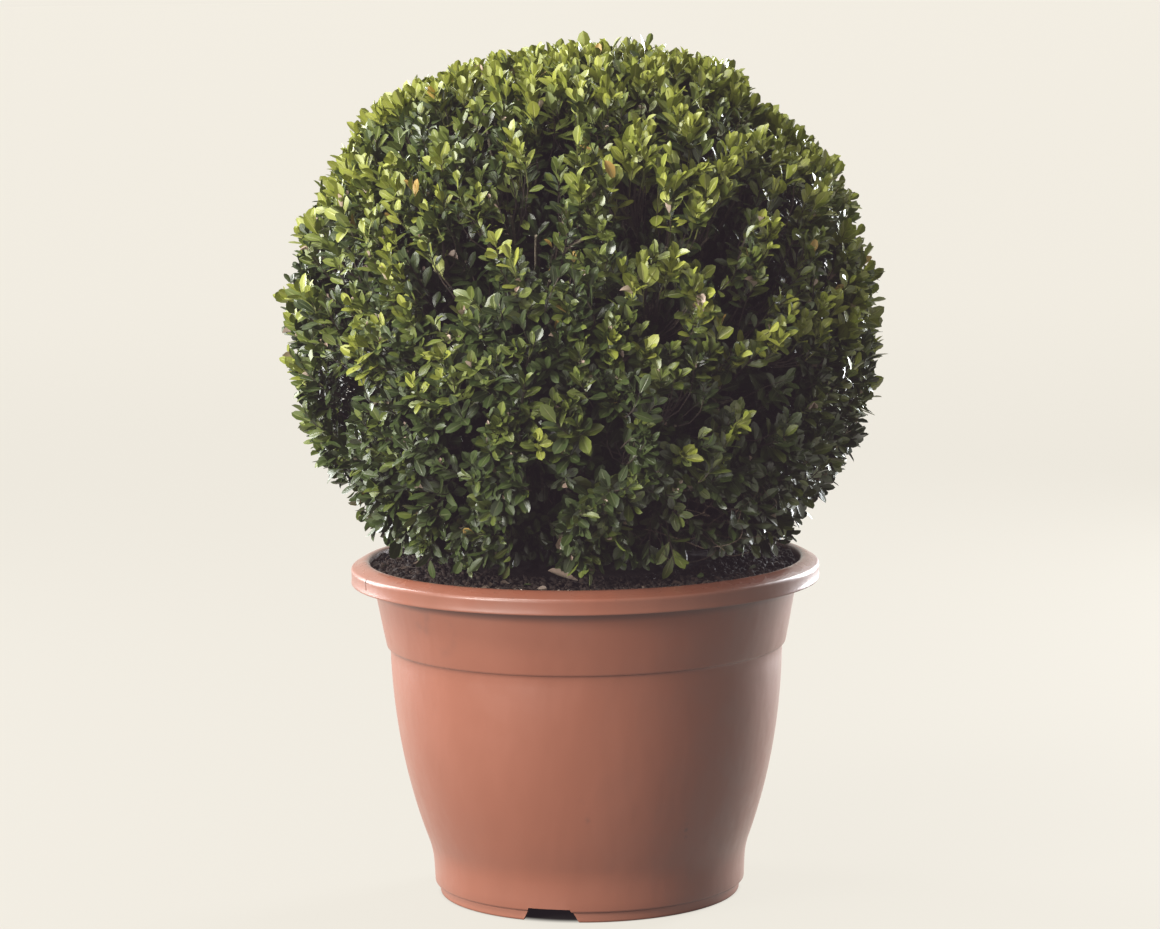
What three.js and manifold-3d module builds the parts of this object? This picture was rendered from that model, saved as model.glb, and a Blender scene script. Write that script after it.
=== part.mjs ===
// A clipped box ball (Buxus) growing in a round plastic pot.
// Millimetres, +Z up. The origin is the centre of the pot's foot, on the ground.
import * as THREE from "three";
import { mergeVertices } from "three/addons/utils/BufferGeometryUtils.js";
import Module from "manifold-3d";

const wasm = await Module();
wasm.setup();

// ---- Driving dimensions ----

// Pot: one moulding, with a rolled rim, a collar, a swelling body and a recessed foot.
const POT_HEIGHT = 310; // ground to the crest of the rim
const RIM_RADIUS = 214.5; // outside of the rolled rim
const RIM_CREST_RADIUS = 201;
const RIM_LIP_RADIUS = 197; // where the rim turns down into the pot
const RIM_DEPTH = 20; // crest of the rim to the lower edge of its skirt
const RIM_FALL = 6; // crest of the rim to its outer edge, where the skirt begins
const LIP_DROP = 5; // crest of the rim to its inner lip
const COLLAR_TOP_RADIUS = 194; // outside of the wall just under the rim
const COLLAR_STEP_HEIGHT = 232; // where the collar ends in a small step
const COLLAR_STEP_RADIUS = 183;
const STEP_IN = 3; // how far the body sits back under the collar
const SWELL_HEIGHT = 135; // the body's swelling bends towards this corner
const SWELL_RADIUS = 178.5;
const KINK_HEIGHT = 42; // where the swelling meets the upright base band
const KINK_RADIUS = 145;
const BASE_RADIUS = 141.5; // outside of the base band, just above the foot
const FOOT_HEIGHT = 16;
const FOOT_RADIUS = 138; // outside of the foot ring, at the ground
const FOOT_WALL = 7;
const POT_WALL = 3;
const FLOOR_HEIGHT = 13; // underside of the pot's floor
const POT_SIDES = 48;

// Foot notches let water out, and drain holes open inside them.
const NOTCH_COUNT = 3;
const NOTCH_BEARING = -105; // degrees from +X of the first notch, a little left of the front
const NOTCH_HEIGHT = 11.5;
const NOTCH_TOP_WIDTH = 35;
const NOTCH_FOOT_WIDTH = 50;
const DRAIN_COUNT = 6;
const DRAIN_RADIUS = 8;
const DRAIN_CIRCLE = 104;

// Compost: filled to just below the crest of the rim, and heaped a little round the plant.
const SOIL_EDGE_HEIGHT = 304;
const SOIL_TOP_HEIGHT = 309;
const SOIL_FLAT_RADIUS = 60;

// Crown: a clipped ball, whose foot sits on the compost.
const BALL_CENTRE = 522;
const BALL_RADIUS = 276;
const CORE_SHARE = 0.8; // the leafless core, as a share of the ball
const CORE_BOTTOM = 318;
const CORE_SIDES = 24;
const CORE_FOOT_RADIUS = 122; // the core goes straight down to its foot at this radius
const HOLLOW_RADIUS = 96; // bare space inside the core's foot, round the fork
const HOLLOW_HEIGHT = 115;

// Wood.
const TRUNK_TOP_HEIGHT = 366;
const TRUNK_RADIUS = 17;
const TRUNK_FLARE = 12; // extra radius at the ground
const TRUNK_LEAN = 5; // how far the fork stands off the axis
const BOUGH_COUNT = 5;
const BOUGH_RADIUS = 9;
const BOUGH_TIP_RADIUS = 5;
const BOUGH_SPREADS = [74, 60]; // how far out the tips stand, every other one closer in
const BOUGH_SOCKET = 16; // how far a bough's tip runs into the core

// Foliage: twigs stand out of the core, every third one a leader on which its neighbours branch,
// and between them leaves grow on the core itself.
const TWIG_SPREAD = 93; // twig tips on a whole ball, before those under its foot are left out
const LEADER_RADIUS = 4;
const LEADER_TIP_RADIUS = 2.4;
const BRANCH_RADIUS = 2.4;
const BRANCH_TIP_RADIUS = 2;
const BRANCH_SHARE = 0.3; // how far along its leader a branch starts
const LOWEST_TWIG_TIP = 326;
const LIFT = 0.16; // radians by which a leader's root lies below its tip: growth points up to the light
const TWIG_END_SHARE = 0.72; // a twig ends this share of a leaf's length short of the outline
const PAIRS_PER_TWIG = 2;
const PAIR_SPACING = 16; // along the twig
const TIP_PAIR_OPEN = 0.7; // radians between the leaves of a twig's last pair and the twig
const LOWER_PAIR_OPEN = 1.15; // the same for the pair before it
const CORE_LEAF_SPREAD = 225; // leaves tried on the core, on a whole ball
const CORE_LEAF_OPEN = 0.95; // radians between such a leaf and the core's normal
const LEAF_LENGTH = 58;
const LEAF_WIDTH = 35;
const LEAF_THICKNESS = 3.2; // at the midrib
const LEAF_LEAST = 0.7; // least size of a leaf, as a share of the usual one
const LEAF_TRIES = 8; // turns tried before a leaf is left out
const LEAF_SOCKET = 0.8; // how far from a twig's axis a leaf starts, inside the twig
const CORE_SOCKET = 7; // how far a leader or a leaf is sunk in the core
const LEAF_CLEARANCE = 6; // leaf tips to compost and rim
const SEED = 7;

const GAP = 0.3; // between neighbouring pieces
const UP = new THREE.Vector3(0, 0, 1);
const CENTRE = new THREE.Vector3(0, 0, BALL_CENTRE);
const GOLDEN_ANGLE = Math.PI * (3 - Math.sqrt(5));

// ---- Helpers ----

// A small seeded generator, so that the plant grows the same way each time.
function seeded(seed) {
  let state = seed >>> 0;
  return () => {
    state = (state + 0x6d2b79f5) >>> 0;
    let t = Math.imul(state ^ (state >>> 15), state | 1);
    t ^= t + Math.imul(t ^ (t >>> 7), t | 61);
    return ((t ^ (t >>> 14)) >>> 0) / 4294967296;
  };
}

// A closed three.js geometry as a solid for joining and cutting.
function toSolid(geometry) {
  const bare = new THREE.BufferGeometry();
  bare.setAttribute("position", geometry.getAttribute("position").clone());
  if (geometry.index) bare.setIndex(geometry.index.clone());
  const merged = mergeVertices(bare, 1e-3);
  const kept = [];
  const index = merged.index.array;
  for (let i = 0; i < index.length; i += 3) {
    const [a, b, c] = [index[i], index[i + 1], index[i + 2]];
    if (a !== b && b !== c && c !== a) kept.push(a, b, c);
  }
  const vertProperties = new Float32Array(merged.getAttribute("position").array);
  const triVerts = new Uint32Array(kept);
  return new wasm.Manifold(new wasm.Mesh({ numProp: 3, vertProperties, triVerts }));
}

// A solid back as a three.js geometry.
function toGeometry(solid) {
  const { vertProperties, triVerts, numProp } = solid.getMesh();
  const count = vertProperties.length / numProp;
  const positions = new Float32Array(count * 3);
  for (let i = 0; i < count; i++) {
    positions.set(vertProperties.subarray(i * numProp, i * numProp + 3), i * 3);
  }
  const geometry = new THREE.BufferGeometry();
  geometry.setAttribute("position", new THREE.BufferAttribute(positions, 3));
  geometry.setIndex(new THREE.BufferAttribute(new Uint32Array(triVerts), 1));
  geometry.computeVertexNormals();
  return geometry;
}

// A profile of (radius, height) points turned about the Z axis.
function turned(profile, sides) {
  return new THREE.LatheGeometry(profile, sides).rotateX(Math.PI / 2);
}

// A round limb that tapers along a curve, bent from a cylinder.
function limb(curve, radiusAt, sides, rings) {
  const geometry = new THREE.CylinderGeometry(1, 1, 1, sides, rings);
  const frames = curve.computeFrenetFrames(rings, false);
  const position = geometry.getAttribute("position");
  for (let i = 0; i < position.count; i++) {
    const t = position.getY(i) + 0.5;
    const ring = Math.round(t * rings);
    const radius = radiusAt(t);
    const point = curve
      .getPointAt(t)
      .addScaledVector(frames.normals[ring], position.getX(i) * radius)
      .addScaledVector(frames.binormals[ring], -position.getZ(i) * radius);
    position.setXYZ(i, point.x, point.y, point.z);
  }
  return geometry;
}

function material(color, roughness) {
  return new THREE.MeshStandardMaterial({ color, roughness, metalness: 0 });
}

function node(name, geometry, look) {
  const mesh = new THREE.Mesh(geometry, look);
  mesh.name = name;
  return mesh;
}

// ---- Pot ----

// Outside of the wall from the ground up to the hook of the rim, as a path in (radius, height).
function potOutside() {
  const bodyTop = COLLAR_STEP_RADIUS - STEP_IN;
  const rimUnder = POT_HEIGHT - RIM_DEPTH;
  const path = new THREE.Path();
  path.moveTo(FOOT_RADIUS, 0);
  path.lineTo(FOOT_RADIUS + 0.4, FOOT_HEIGHT);
  path.lineTo(BASE_RADIUS, FOOT_HEIGHT + 3);
  path.lineTo(KINK_RADIUS, KINK_HEIGHT);
  path.quadraticCurveTo(SWELL_RADIUS, SWELL_HEIGHT, bodyTop, COLLAR_STEP_HEIGHT - 3);
  path.lineTo(COLLAR_STEP_RADIUS, COLLAR_STEP_HEIGHT);
  path.lineTo(COLLAR_TOP_RADIUS, rimUnder);
  return path;
}

// The rim is a hook: up from the wall, over the crest, down the skirt's outside and round its edge.
function potRim() {
  const skirtFoot = POT_HEIGHT - RIM_DEPTH;
  const path = new THREE.Path();
  path.moveTo(RIM_LIP_RADIUS + 1, POT_HEIGHT - 9);
  path.lineTo(RIM_RADIUS - 7, POT_HEIGHT - 8);
  path.lineTo(RIM_RADIUS - POT_WALL, POT_HEIGHT - 12);
  path.lineTo(RIM_RADIUS - POT_WALL, skirtFoot);
  path.lineTo(RIM_RADIUS - 0.7, skirtFoot);
  path.lineTo(RIM_RADIUS, POT_HEIGHT - RIM_FALL - 4);
  path.quadraticCurveTo(RIM_RADIUS, POT_HEIGHT - RIM_FALL, RIM_RADIUS - 4, POT_HEIGHT - RIM_FALL + 1.5);
  path.quadraticCurveTo(RIM_CREST_RADIUS + 3, POT_HEIGHT, RIM_CREST_RADIUS, POT_HEIGHT);
  path.quadraticCurveTo(RIM_LIP_RADIUS, POT_HEIGHT, RIM_LIP_RADIUS - 1, POT_HEIGHT - LIP_DROP);
  return path;
}

// The outside wall's radius at a height below the rim.
function wallRadiusAt(height) {
  const points = potOutside().getPoints(4);
  for (let i = 1; i < points.length; i++) {
    const [low, high] = [points[i - 1], points[i]];
    if (low.y <= height && height <= high.y) {
      return THREE.MathUtils.mapLinear(height, low.y, high.y, low.x, high.x);
    }
  }
  return COLLAR_TOP_RADIUS;
}

// Inside of the wall, from the rim down to the floor, moved inwards by a set-back.
function potInside(setBack) {
  const floorTop = FLOOR_HEIGHT + POT_WALL;
  const heights = [POT_HEIGHT - RIM_DEPTH, 228, 190, SWELL_HEIGHT, 85, KINK_HEIGHT];
  const points = [new THREE.Vector2(RIM_LIP_RADIUS - 1 - setBack, POT_HEIGHT - LIP_DROP)];
  for (const height of heights) {
    points.push(new THREE.Vector2(wallRadiusAt(height) - POT_WALL - setBack, height));
  }
  const corner = BASE_RADIUS - POT_WALL - setBack;
  points.push(new THREE.Vector2(corner, floorTop + 5 + setBack));
  points.push(new THREE.Vector2(corner - 5, floorTop + setBack));
  return points;
}

function potNotch(bearing) {
  const outline = new THREE.Shape();
  outline.moveTo(-NOTCH_FOOT_WIDTH / 2, -1);
  outline.lineTo(NOTCH_FOOT_WIDTH / 2, -1);
  outline.lineTo(NOTCH_TOP_WIDTH / 2, NOTCH_HEIGHT);
  outline.lineTo(-NOTCH_TOP_WIDTH / 2, NOTCH_HEIGHT);
  outline.closePath();
  const depth = 60;
  const cutter = new THREE.ExtrudeGeometry(outline, { depth, bevelEnabled: false });
  cutter.rotateX(Math.PI / 2);
  cutter.translate(0, FOOT_RADIUS + depth / 2, 0);
  cutter.rotateZ(THREE.MathUtils.degToRad(bearing - 90));
  return toSolid(cutter);
}

function drainHole(bearing) {
  const cutter = new THREE.CylinderGeometry(DRAIN_RADIUS, DRAIN_RADIUS, 4 * POT_WALL, 12);
  cutter.rotateX(Math.PI / 2);
  cutter.translate(DRAIN_CIRCLE, 0, FLOOR_HEIGHT + POT_WALL / 2);
  cutter.rotateZ(THREE.MathUtils.degToRad(bearing));
  return toSolid(cutter);
}

function makePot() {
  const profile = [
    new THREE.Vector2(0, FLOOR_HEIGHT),
    new THREE.Vector2(FOOT_RADIUS - FOOT_WALL - 2, FLOOR_HEIGHT),
    new THREE.Vector2(FOOT_RADIUS - FOOT_WALL, 0),
    ...potOutside().getPoints(4),
    ...potRim().getPoints(4),
    ...potInside(0).slice(1),
    new THREE.Vector2(0, FLOOR_HEIGHT + POT_WALL),
  ];
  let solid = toSolid(turned(profile, POT_SIDES));
  for (let i = 0; i < NOTCH_COUNT; i++) {
    solid = solid.subtract(potNotch(NOTCH_BEARING + (i * 360) / NOTCH_COUNT));
  }
  for (let i = 0; i < DRAIN_COUNT; i++) {
    solid = solid.subtract(drainHole(NOTCH_BEARING + (i * 360) / DRAIN_COUNT));
  }
  return solid;
}

// ---- Compost ----

// Where the compost's surface meets the wall.
const SOIL_EDGE_RADIUS = THREE.MathUtils.mapLinear(
  SOIL_EDGE_HEIGHT,
  POT_HEIGHT - RIM_DEPTH,
  POT_HEIGHT - LIP_DROP,
  COLLAR_TOP_RADIUS - POT_WALL,
  RIM_LIP_RADIUS - 1,
);

// Height of the compost at a distance from the axis: level round the trunk, then falling to the wall.
function soilHeight(radius) {
  const share = THREE.MathUtils.smoothstep(radius, SOIL_FLAT_RADIUS, SOIL_EDGE_RADIUS);
  return THREE.MathUtils.lerp(SOIL_TOP_HEIGHT, SOIL_EDGE_HEIGHT, share);
}

function makeSoil() {
  const setBack = 2 * GAP;
  const edge = SOIL_EDGE_RADIUS - setBack;
  const top = [0, 0.4, 0.7, 1].map((share) => {
    const radius = THREE.MathUtils.lerp(edge, SOIL_FLAT_RADIUS, share);
    return new THREE.Vector2(radius, soilHeight(radius));
  });
  const profile = [
    new THREE.Vector2(0, FLOOR_HEIGHT + POT_WALL + setBack),
    ...potInside(setBack).slice(1).reverse(),
    ...top,
    new THREE.Vector2(0, SOIL_TOP_HEIGHT),
  ];
  return toSolid(turned(profile, POT_SIDES));
}

// ---- Ball outline ----

// How far out a point lies: 1 on the clipped outline, less inside it.
function reachOf(point) {
  return point.distanceTo(CENTRE) / BALL_RADIUS;
}

// The point in a direction from the ball's centre that lies at a share of its radius.
function pointAt(direction, share) {
  return CENTRE.clone().addScaledVector(direction, share * BALL_RADIUS);
}

// ---- Trunk and boughs ----

const FORK = new THREE.Vector3(TRUNK_LEAN, -TRUNK_LEAN / 2, TRUNK_TOP_HEIGHT);

function makeTrunk(extra) {
  const foot = new THREE.Vector3(0, 0, SOIL_TOP_HEIGHT + GAP);
  const curve = new THREE.CatmullRomCurve3([
    foot,
    foot.clone().lerp(FORK, 0.4).setX(0).setY(0),
    FORK,
  ]);
  const radiusAt = (t) => TRUNK_RADIUS - 3 * t + TRUNK_FLARE * (1 - t) ** 4 + extra;
  return toSolid(limb(curve, radiusAt, 14, 5));
}

// Height of the hollow's roof at a distance from the axis.
function hollowHeight(radius) {
  return CORE_BOTTOM + HOLLOW_HEIGHT * Math.sqrt(1 - (radius / HOLLOW_RADIUS) ** 2);
}

// A bough leaves the trunk's top, bends outward and up, and ends inside the core.
function boughCurve(i) {
  const bearing = ((i + 0.3) * 2 * Math.PI) / BOUGH_COUNT;
  const out = new THREE.Vector3(Math.cos(bearing), Math.sin(bearing), 0);
  const reach = BOUGH_SPREADS[i % 2];
  const tip = out.clone().multiplyScalar(reach).setZ(hollowHeight(reach) + BOUGH_SOCKET);
  const start = FORK.clone().addScaledVector(out, 4).addScaledVector(UP, -12);
  const bend = start.clone().lerp(tip, 0.5).addScaledVector(out, 5);
  return new THREE.CatmullRomCurve3([start, bend, tip]);
}

function makeBough(i, extra) {
  const radiusAt = (t) => THREE.MathUtils.lerp(BOUGH_RADIUS, BOUGH_TIP_RADIUS, t) + extra;
  return toSolid(limb(boughCurve(i), radiusAt, 9, 5));
}

// Each bough is cut clear of the trunk and of the boughs made before it.
function makeBoughs() {
  const boughs = [];
  let taken = makeTrunk(GAP);
  for (let i = 0; i < BOUGH_COUNT; i++) {
    const whole = makeBough(i, 0);
    const pieces = whole.subtract(taken).decompose();
    pieces.sort((a, b) => b.volume() - a.volume());
    boughs.push(pieces[0]);
    taken = taken.add(makeBough(i, GAP));
  }
  return { boughs, taken };
}

// ---- Crown ----

// The core's outside radius at a height: a smaller ball, which drops straight down to its foot.
function coreRadiusAt(height) {
  const across = CORE_SHARE * BALL_RADIUS;
  const along = height - BALL_CENTRE;
  const radius = Math.sqrt(Math.max(across * across - along * along, 0));
  return height < BALL_CENTRE ? Math.max(radius, CORE_FOOT_RADIUS) : radius;
}

// An arc of (radius, height) points about a centre on the axis, from one angle up or down to another.
function arcAbout(centre, radius, height, from, to, steps) {
  return Array.from({ length: steps + 1 }, (_, i) => {
    const angle = THREE.MathUtils.lerp(from, to, i / steps);
    const across = Math.max(radius * Math.cos(angle), 0);
    return new THREE.Vector2(across < 1e-6 ? 0 : across, centre + height * Math.sin(angle));
  });
}

function makeCore(limbs) {
  const radius = CORE_SHARE * BALL_RADIUS;
  const footAngle = -Math.acos(CORE_FOOT_RADIUS / radius);
  const profile = [
    ...arcAbout(CORE_BOTTOM, HOLLOW_RADIUS, HOLLOW_HEIGHT, Math.PI / 2, 0, 4),
    new THREE.Vector2(CORE_FOOT_RADIUS, CORE_BOTTOM),
    ...arcAbout(BALL_CENTRE, radius, radius, footAngle, Math.PI / 2, 10),
  ];
  return toSolid(turned(profile, CORE_SIDES)).subtract(limbs);
}

// One leaf: pointed base and tip, widest past the middle, arched along a raised midrib.
function leafShape() {
  const outline = [new THREE.Vector2(0, 0), new THREE.Vector2(1, 0.58), new THREE.Vector2(0, 1)];
  const geometry = new THREE.LatheGeometry(outline, 3);
  const widest = Math.sqrt(3) / 2;
  geometry.scale(LEAF_WIDTH / 2 / widest, LEAF_LENGTH, LEAF_THICKNESS / 1.5);
  return geometry;
}

// The leaf's base lies at a point, its length along one direction and its upper face towards another.
function placeLeaf(base, along, upper, size) {
  const side = new THREE.Vector3().crossVectors(along, upper).normalize();
  const face = new THREE.Vector3().crossVectors(side, along);
  const turn = new THREE.Matrix4().makeBasis(side, along, face).setPosition(base);
  return leafShape().scale(size, size, size).applyMatrix4(turn);
}

// A leaf may not leave the ball, dip into the core, or touch the compost or the rim.
function isInSpace(geometry, base) {
  const position = geometry.getAttribute("position");
  const point = new THREE.Vector3();
  for (let i = 0; i < position.count; i++) {
    point.fromBufferAttribute(position, i);
    const radius = Math.hypot(point.x, point.y);
    if (reachOf(point) > 1) return false;
    if (radius < coreRadiusAt(point.z) + 1 && point.distanceTo(base) > 1) return false;
    if (point.z < soilHeight(radius) + LEAF_CLEARANCE) return false;
    if (point.z < POT_HEIGHT + LEAF_CLEARANCE && radius > RIM_LIP_RADIUS - LEAF_CLEARANCE) return false;
  }
  return true;
}

// Everything that has grown so far, so that what comes next can grow clear of it.
const grown = [];

function growsClear(solid, centre, reach, ownTwig) {
  return grown.every(
    (other) =>
      other.solid === ownTwig ||
      centre.distanceTo(other.centre) > reach + other.reach ||
      solid.intersect(other.solid).isEmpty(),
  );
}

// Directions spread evenly over the ball by the golden angle.
function spread(count) {
  return Array.from({ length: count }, (_, i) => {
    const z = 1 - (2 * i + 1) / count;
    const radius = Math.sqrt(1 - z * z);
    const bearing = i * GOLDEN_ANGLE;
    return new THREE.Vector3(radius * Math.cos(bearing), radius * Math.sin(bearing), z);
  });
}

// The core's surface in a direction from the ball's centre, and which way it faces there.
function coreSurface(direction) {
  const point = pointAt(direction, CORE_SHARE);
  if (point.z > BALL_CENTRE || Math.hypot(point.x, point.y) > CORE_FOOT_RADIUS) {
    return { point, normal: direction };
  }
  const normal = direction.clone().setZ(0).normalize();
  const height = Math.max(point.z, CORE_BOTTOM + 9);
  return { point: normal.clone().multiplyScalar(CORE_FOOT_RADIUS).setZ(height), normal };
}

// Where a leader starts, sunk in the core, a little below its tip.
function rootOf(direction) {
  const lowered = direction.clone().applyAxisAngle(sideOf(direction), -LIFT);
  const { point, normal } = coreSurface(lowered);
  return point.addScaledVector(normal, -CORE_SOCKET);
}

// A level direction at right angles to an axis.
function sideOf(axis) {
  const side = new THREE.Vector3().crossVectors(axis, UP);
  return side.lengthSq() < 1e-6 ? new THREE.Vector3(1, 0, 0) : side.normalize();
}

// A three-sided twig between two points, added to what has grown.
function growTwig(from, to, startRadius, endRadius) {
  const line = new THREE.LineCurve3(from, to);
  const solid = toSolid(limb(line, (t) => THREE.MathUtils.lerp(startRadius, endRadius, t), 3, 1));
  const centre = from.clone().lerp(to, 0.5);
  grown.push({ solid, centre, reach: from.distanceTo(to) / 2 + startRadius });
  return solid;
}

// How large a leaf can be before its tip passes the clipped outline, or 0 where none fits.
function largestSize(root, direction, most) {
  for (let size = most; size > LEAF_LEAST; size -= 0.03) {
    const tip = root.clone().addScaledVector(direction, size * LEAF_LENGTH);
    if (reachOf(tip) < 1) return size;
  }
  return 0;
}

// One leaf on a twig or on the core: turned a little further round each time that it finds no room.
function growLeaf(base, axis, turn, open, ownTwig, random) {
  for (let attempt = 0; attempt < LEAF_TRIES; attempt++) {
    const wander = 0.25 * attempt * (random() - 0.5);
    const lean = open + 0.5 * wander;
    const outward = sideOf(axis).applyAxisAngle(axis, turn + wander);
    const direction = axis.clone().multiplyScalar(Math.cos(lean));
    direction.addScaledVector(outward, Math.sin(lean));
    const root = base.clone().addScaledVector(direction, LEAF_SOCKET);
    const size = largestSize(root, direction, 0.95 + 0.2 * random());
    if (size === 0) continue;
    const blade = placeLeaf(root, direction, axis, size);
    if (!isInSpace(blade, root)) continue;
    const solid = toSolid(blade);
    const reach = 0.5 * size * LEAF_LENGTH + 2;
    const centre = root.clone().addScaledVector(direction, reach);
    if (growsClear(solid, centre, reach, ownTwig)) {
      grown.push({ solid, centre, reach });
      return;
    }
  }
}

// A twig that ends where its last leaves open, with its leaves still to grow.
function growTwigTowards(from, direction, startRadius, endRadius, random) {
  const tip = pointAt(direction, 0.98 + 0.02 * random());
  const axis = tip.clone().sub(from).normalize();
  const end = tip.clone().addScaledVector(axis, -TWIG_END_SHARE * LEAF_LENGTH);
  return { direction, from, end, solid: growTwig(from, end, startRadius, endRadius) };
}

// Pairs of leaves near a twig's tip, each pair a quarter turn on from the last.
function growLeaves(twig, random) {
  const axis = twig.end.clone().sub(twig.from);
  const length = axis.length();
  axis.normalize();
  const firstTurn = random() * Math.PI;
  for (let pair = 0; pair < PAIRS_PER_TWIG; pair++) {
    const base = twig.from.clone().addScaledVector(axis, length - 2 - PAIR_SPACING * pair);
    const open = pair === 0 ? TIP_PAIR_OPEN : LOWER_PAIR_OPEN;
    for (let half = 0; half < 2; half++) {
      const turn = firstTurn + (pair * Math.PI) / 2 + half * Math.PI;
      growLeaf(base, axis, turn, open, twig.solid, random);
    }
  }
}

// Leaves on the core itself, pointing up, where the twigs have left room.
function growCoreLeaves(random) {
  for (const direction of spread(CORE_LEAF_SPREAD)) {
    if (pointAt(direction, CORE_SHARE).z < CORE_BOTTOM) continue;
    const { point, normal } = coreSurface(direction);
    const base = point.addScaledVector(normal, -CORE_SOCKET);
    const scatter = normal === direction ? 2 : 5; // round the foot they point any way
    const turn = -Math.PI / 2 + scatter * (random() - 0.5);
    growLeaf(base, normal, turn, CORE_LEAF_OPEN, null, random);
  }
}

// The clipped crown: the core, and every twig and leaf fused to it.
function makeFoliageBall(limbs) {
  const random = seeded(SEED);
  const tips = spread(TWIG_SPREAD).filter((direction) => pointAt(direction, 1).z > LOWEST_TWIG_TIP);
  const leaders = tips
    .filter((direction, i) => i % 3 === 0)
    .map((direction) =>
      growTwigTowards(rootOf(direction), direction, LEADER_RADIUS, LEADER_TIP_RADIUS, random),
    );
  const nearest = (direction) =>
    leaders.reduce((a, b) =>
      a.direction.angleTo(direction) < b.direction.angleTo(direction) ? a : b,
    );
  const branches = tips
    .filter((direction, i) => i % 3 !== 0)
    .map((direction) => {
      const leader = nearest(direction);
      const from = leader.from.clone().lerp(leader.end, BRANCH_SHARE + 0.25 * random());
      return growTwigTowards(from, direction, BRANCH_RADIUS, BRANCH_TIP_RADIUS, random);
    });
  for (const twig of [...leaders, ...branches]) growLeaves(twig, random);
  growCoreLeaves(random);
  return wasm.Manifold.union([makeCore(limbs), ...grown.map((piece) => piece.solid)]);
}

// Keeps the one body that holds nearly all of a solid, and fills any hollow sealed in it.
function onePiece(solid) {
  const bodies = solid.decompose().filter((body) => body.volume() > 0);
  bodies.sort((a, b) => b.volume() - a.volume());
  return bodies[0];
}

// ---- Assembly ----

const looks = {
  pot: material(0xb5715a, 0.5),
  soil: material(0x2e241d, 0.95),
  bark: material(0x8a7f6a, 0.85),
  leaf: material(0x3d5a20, 0.4),
};

const { boughs, taken } = makeBoughs();
const boxBall = new THREE.Group();
boxBall.add(node("pot", toGeometry(makePot()), looks.pot));
boxBall.add(node("soil", toGeometry(makeSoil()), looks.soil));
boxBall.add(node("trunk", toGeometry(makeTrunk(0)), looks.bark));
boughs.forEach((bough, i) => {
  boxBall.add(node(`bough_${i + 1}`, toGeometry(bough), looks.bark));
});
boxBall.add(node("foliage_ball", toGeometry(onePiece(makeFoliageBall(taken))), looks.leaf));

export default boxBall;
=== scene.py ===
# %% [markdown]
# # A clipped box ball in its plastic pot
#
# A box ball is a shrub, grown in a pot and clipped to a sphere two or three times a year.
# Everything that is seen of it is a skin of small glossy leaves on short shoots, a hand's
# width deep. Inside the skin there is only wood, and it is nearly black there.
#
# The solids of the part are loaded first, as a frame that isn't changed. Each piece made
# below stands where its solid stands, and where it replaces a solid, that solid is hidden.

# %% Load the frame
import math

import bmesh
import bpy
import numpy as np
from mathutils import Matrix, Vector


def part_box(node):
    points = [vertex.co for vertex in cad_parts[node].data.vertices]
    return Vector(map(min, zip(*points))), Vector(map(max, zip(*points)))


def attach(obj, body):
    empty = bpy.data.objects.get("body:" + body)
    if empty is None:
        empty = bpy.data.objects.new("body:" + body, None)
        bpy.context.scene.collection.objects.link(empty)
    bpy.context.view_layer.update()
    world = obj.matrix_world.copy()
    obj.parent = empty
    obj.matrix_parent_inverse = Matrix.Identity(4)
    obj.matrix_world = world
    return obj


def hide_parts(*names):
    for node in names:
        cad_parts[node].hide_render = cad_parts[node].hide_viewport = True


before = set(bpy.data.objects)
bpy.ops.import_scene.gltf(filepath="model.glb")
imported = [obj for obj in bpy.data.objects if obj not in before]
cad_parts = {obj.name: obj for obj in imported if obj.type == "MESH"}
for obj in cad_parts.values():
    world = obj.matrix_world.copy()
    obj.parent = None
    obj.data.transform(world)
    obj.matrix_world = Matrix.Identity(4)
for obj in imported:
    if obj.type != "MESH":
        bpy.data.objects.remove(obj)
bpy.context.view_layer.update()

print("solids:", sorted(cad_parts))

# %% [markdown]
# ## Sizes
#
# The pot gives the scale. Its rim and height are read from the frame, and so is the top of
# the crown. The ball's centre and radius are the two sizes that the clipping shears follow:
# every leaf and twig is placed by how far out it lies between that centre and that radius.

# %% Read the sizes
pot_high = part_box("pot")[1]
soil_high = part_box("soil")[1]
crown_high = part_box("foliage_ball")[1]
trunk_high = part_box("trunk")[1]
POT_HEIGHT = pot_high.z
RIM_RADIUS = pot_high.x
SOIL_TOP = soil_high.z
BALL_RADIUS = 0.2775
CROWN_TRIM = 0.010  # the leaves of the solids stop this far below the ball's own top
BALL_CENTRE = np.array([0.0, 0.0, crown_high.z + CROWN_TRIM - BALL_RADIUS])
print(f"pot {2 * RIM_RADIUS:.3f} m across and {POT_HEIGHT:.3f} m high")
print(f"ball {2 * BALL_RADIUS:.3f} m across, its centre {BALL_CENTRE[2]:.3f} m up")

# %% [markdown]
# ## Working habits
#
# An operator acts on whatever is selected, so each piece starts with nothing selected.
# A finished piece is smooth where its faces nearly agree and crisp at its real edges, rides
# on the body that carries it, takes its finish, and hides the solid that it stands for.

# %% Select nothing, and settle a finished piece
def deselect_all():
    """Leaves edit mode and selects nothing."""
    if bpy.context.object and bpy.context.object.mode != "OBJECT":
        bpy.ops.object.mode_set(mode="OBJECT")
    bpy.ops.object.select_all(action="DESELECT")


def pick(piece):
    """Selects one piece and makes it the active one."""
    deselect_all()
    piece.select_set(True)
    bpy.context.view_layer.objects.active = piece


def settle(piece, finish, slot, *nodes, crisp=35):
    """Gives a piece its material and place in the part, and smooths it below an angle."""
    pick(piece)
    bpy.ops.object.shade_smooth_by_angle(angle=math.radians(crisp))
    piece.data.materials.clear()
    piece.data.materials.append(finish)
    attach(piece, "root")
    if nodes:
        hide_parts(*nodes)
    piece.data.calc_loop_triangles()
    print(f"{piece.name}: {len(piece.data.loop_triangles)} triangles")


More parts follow.
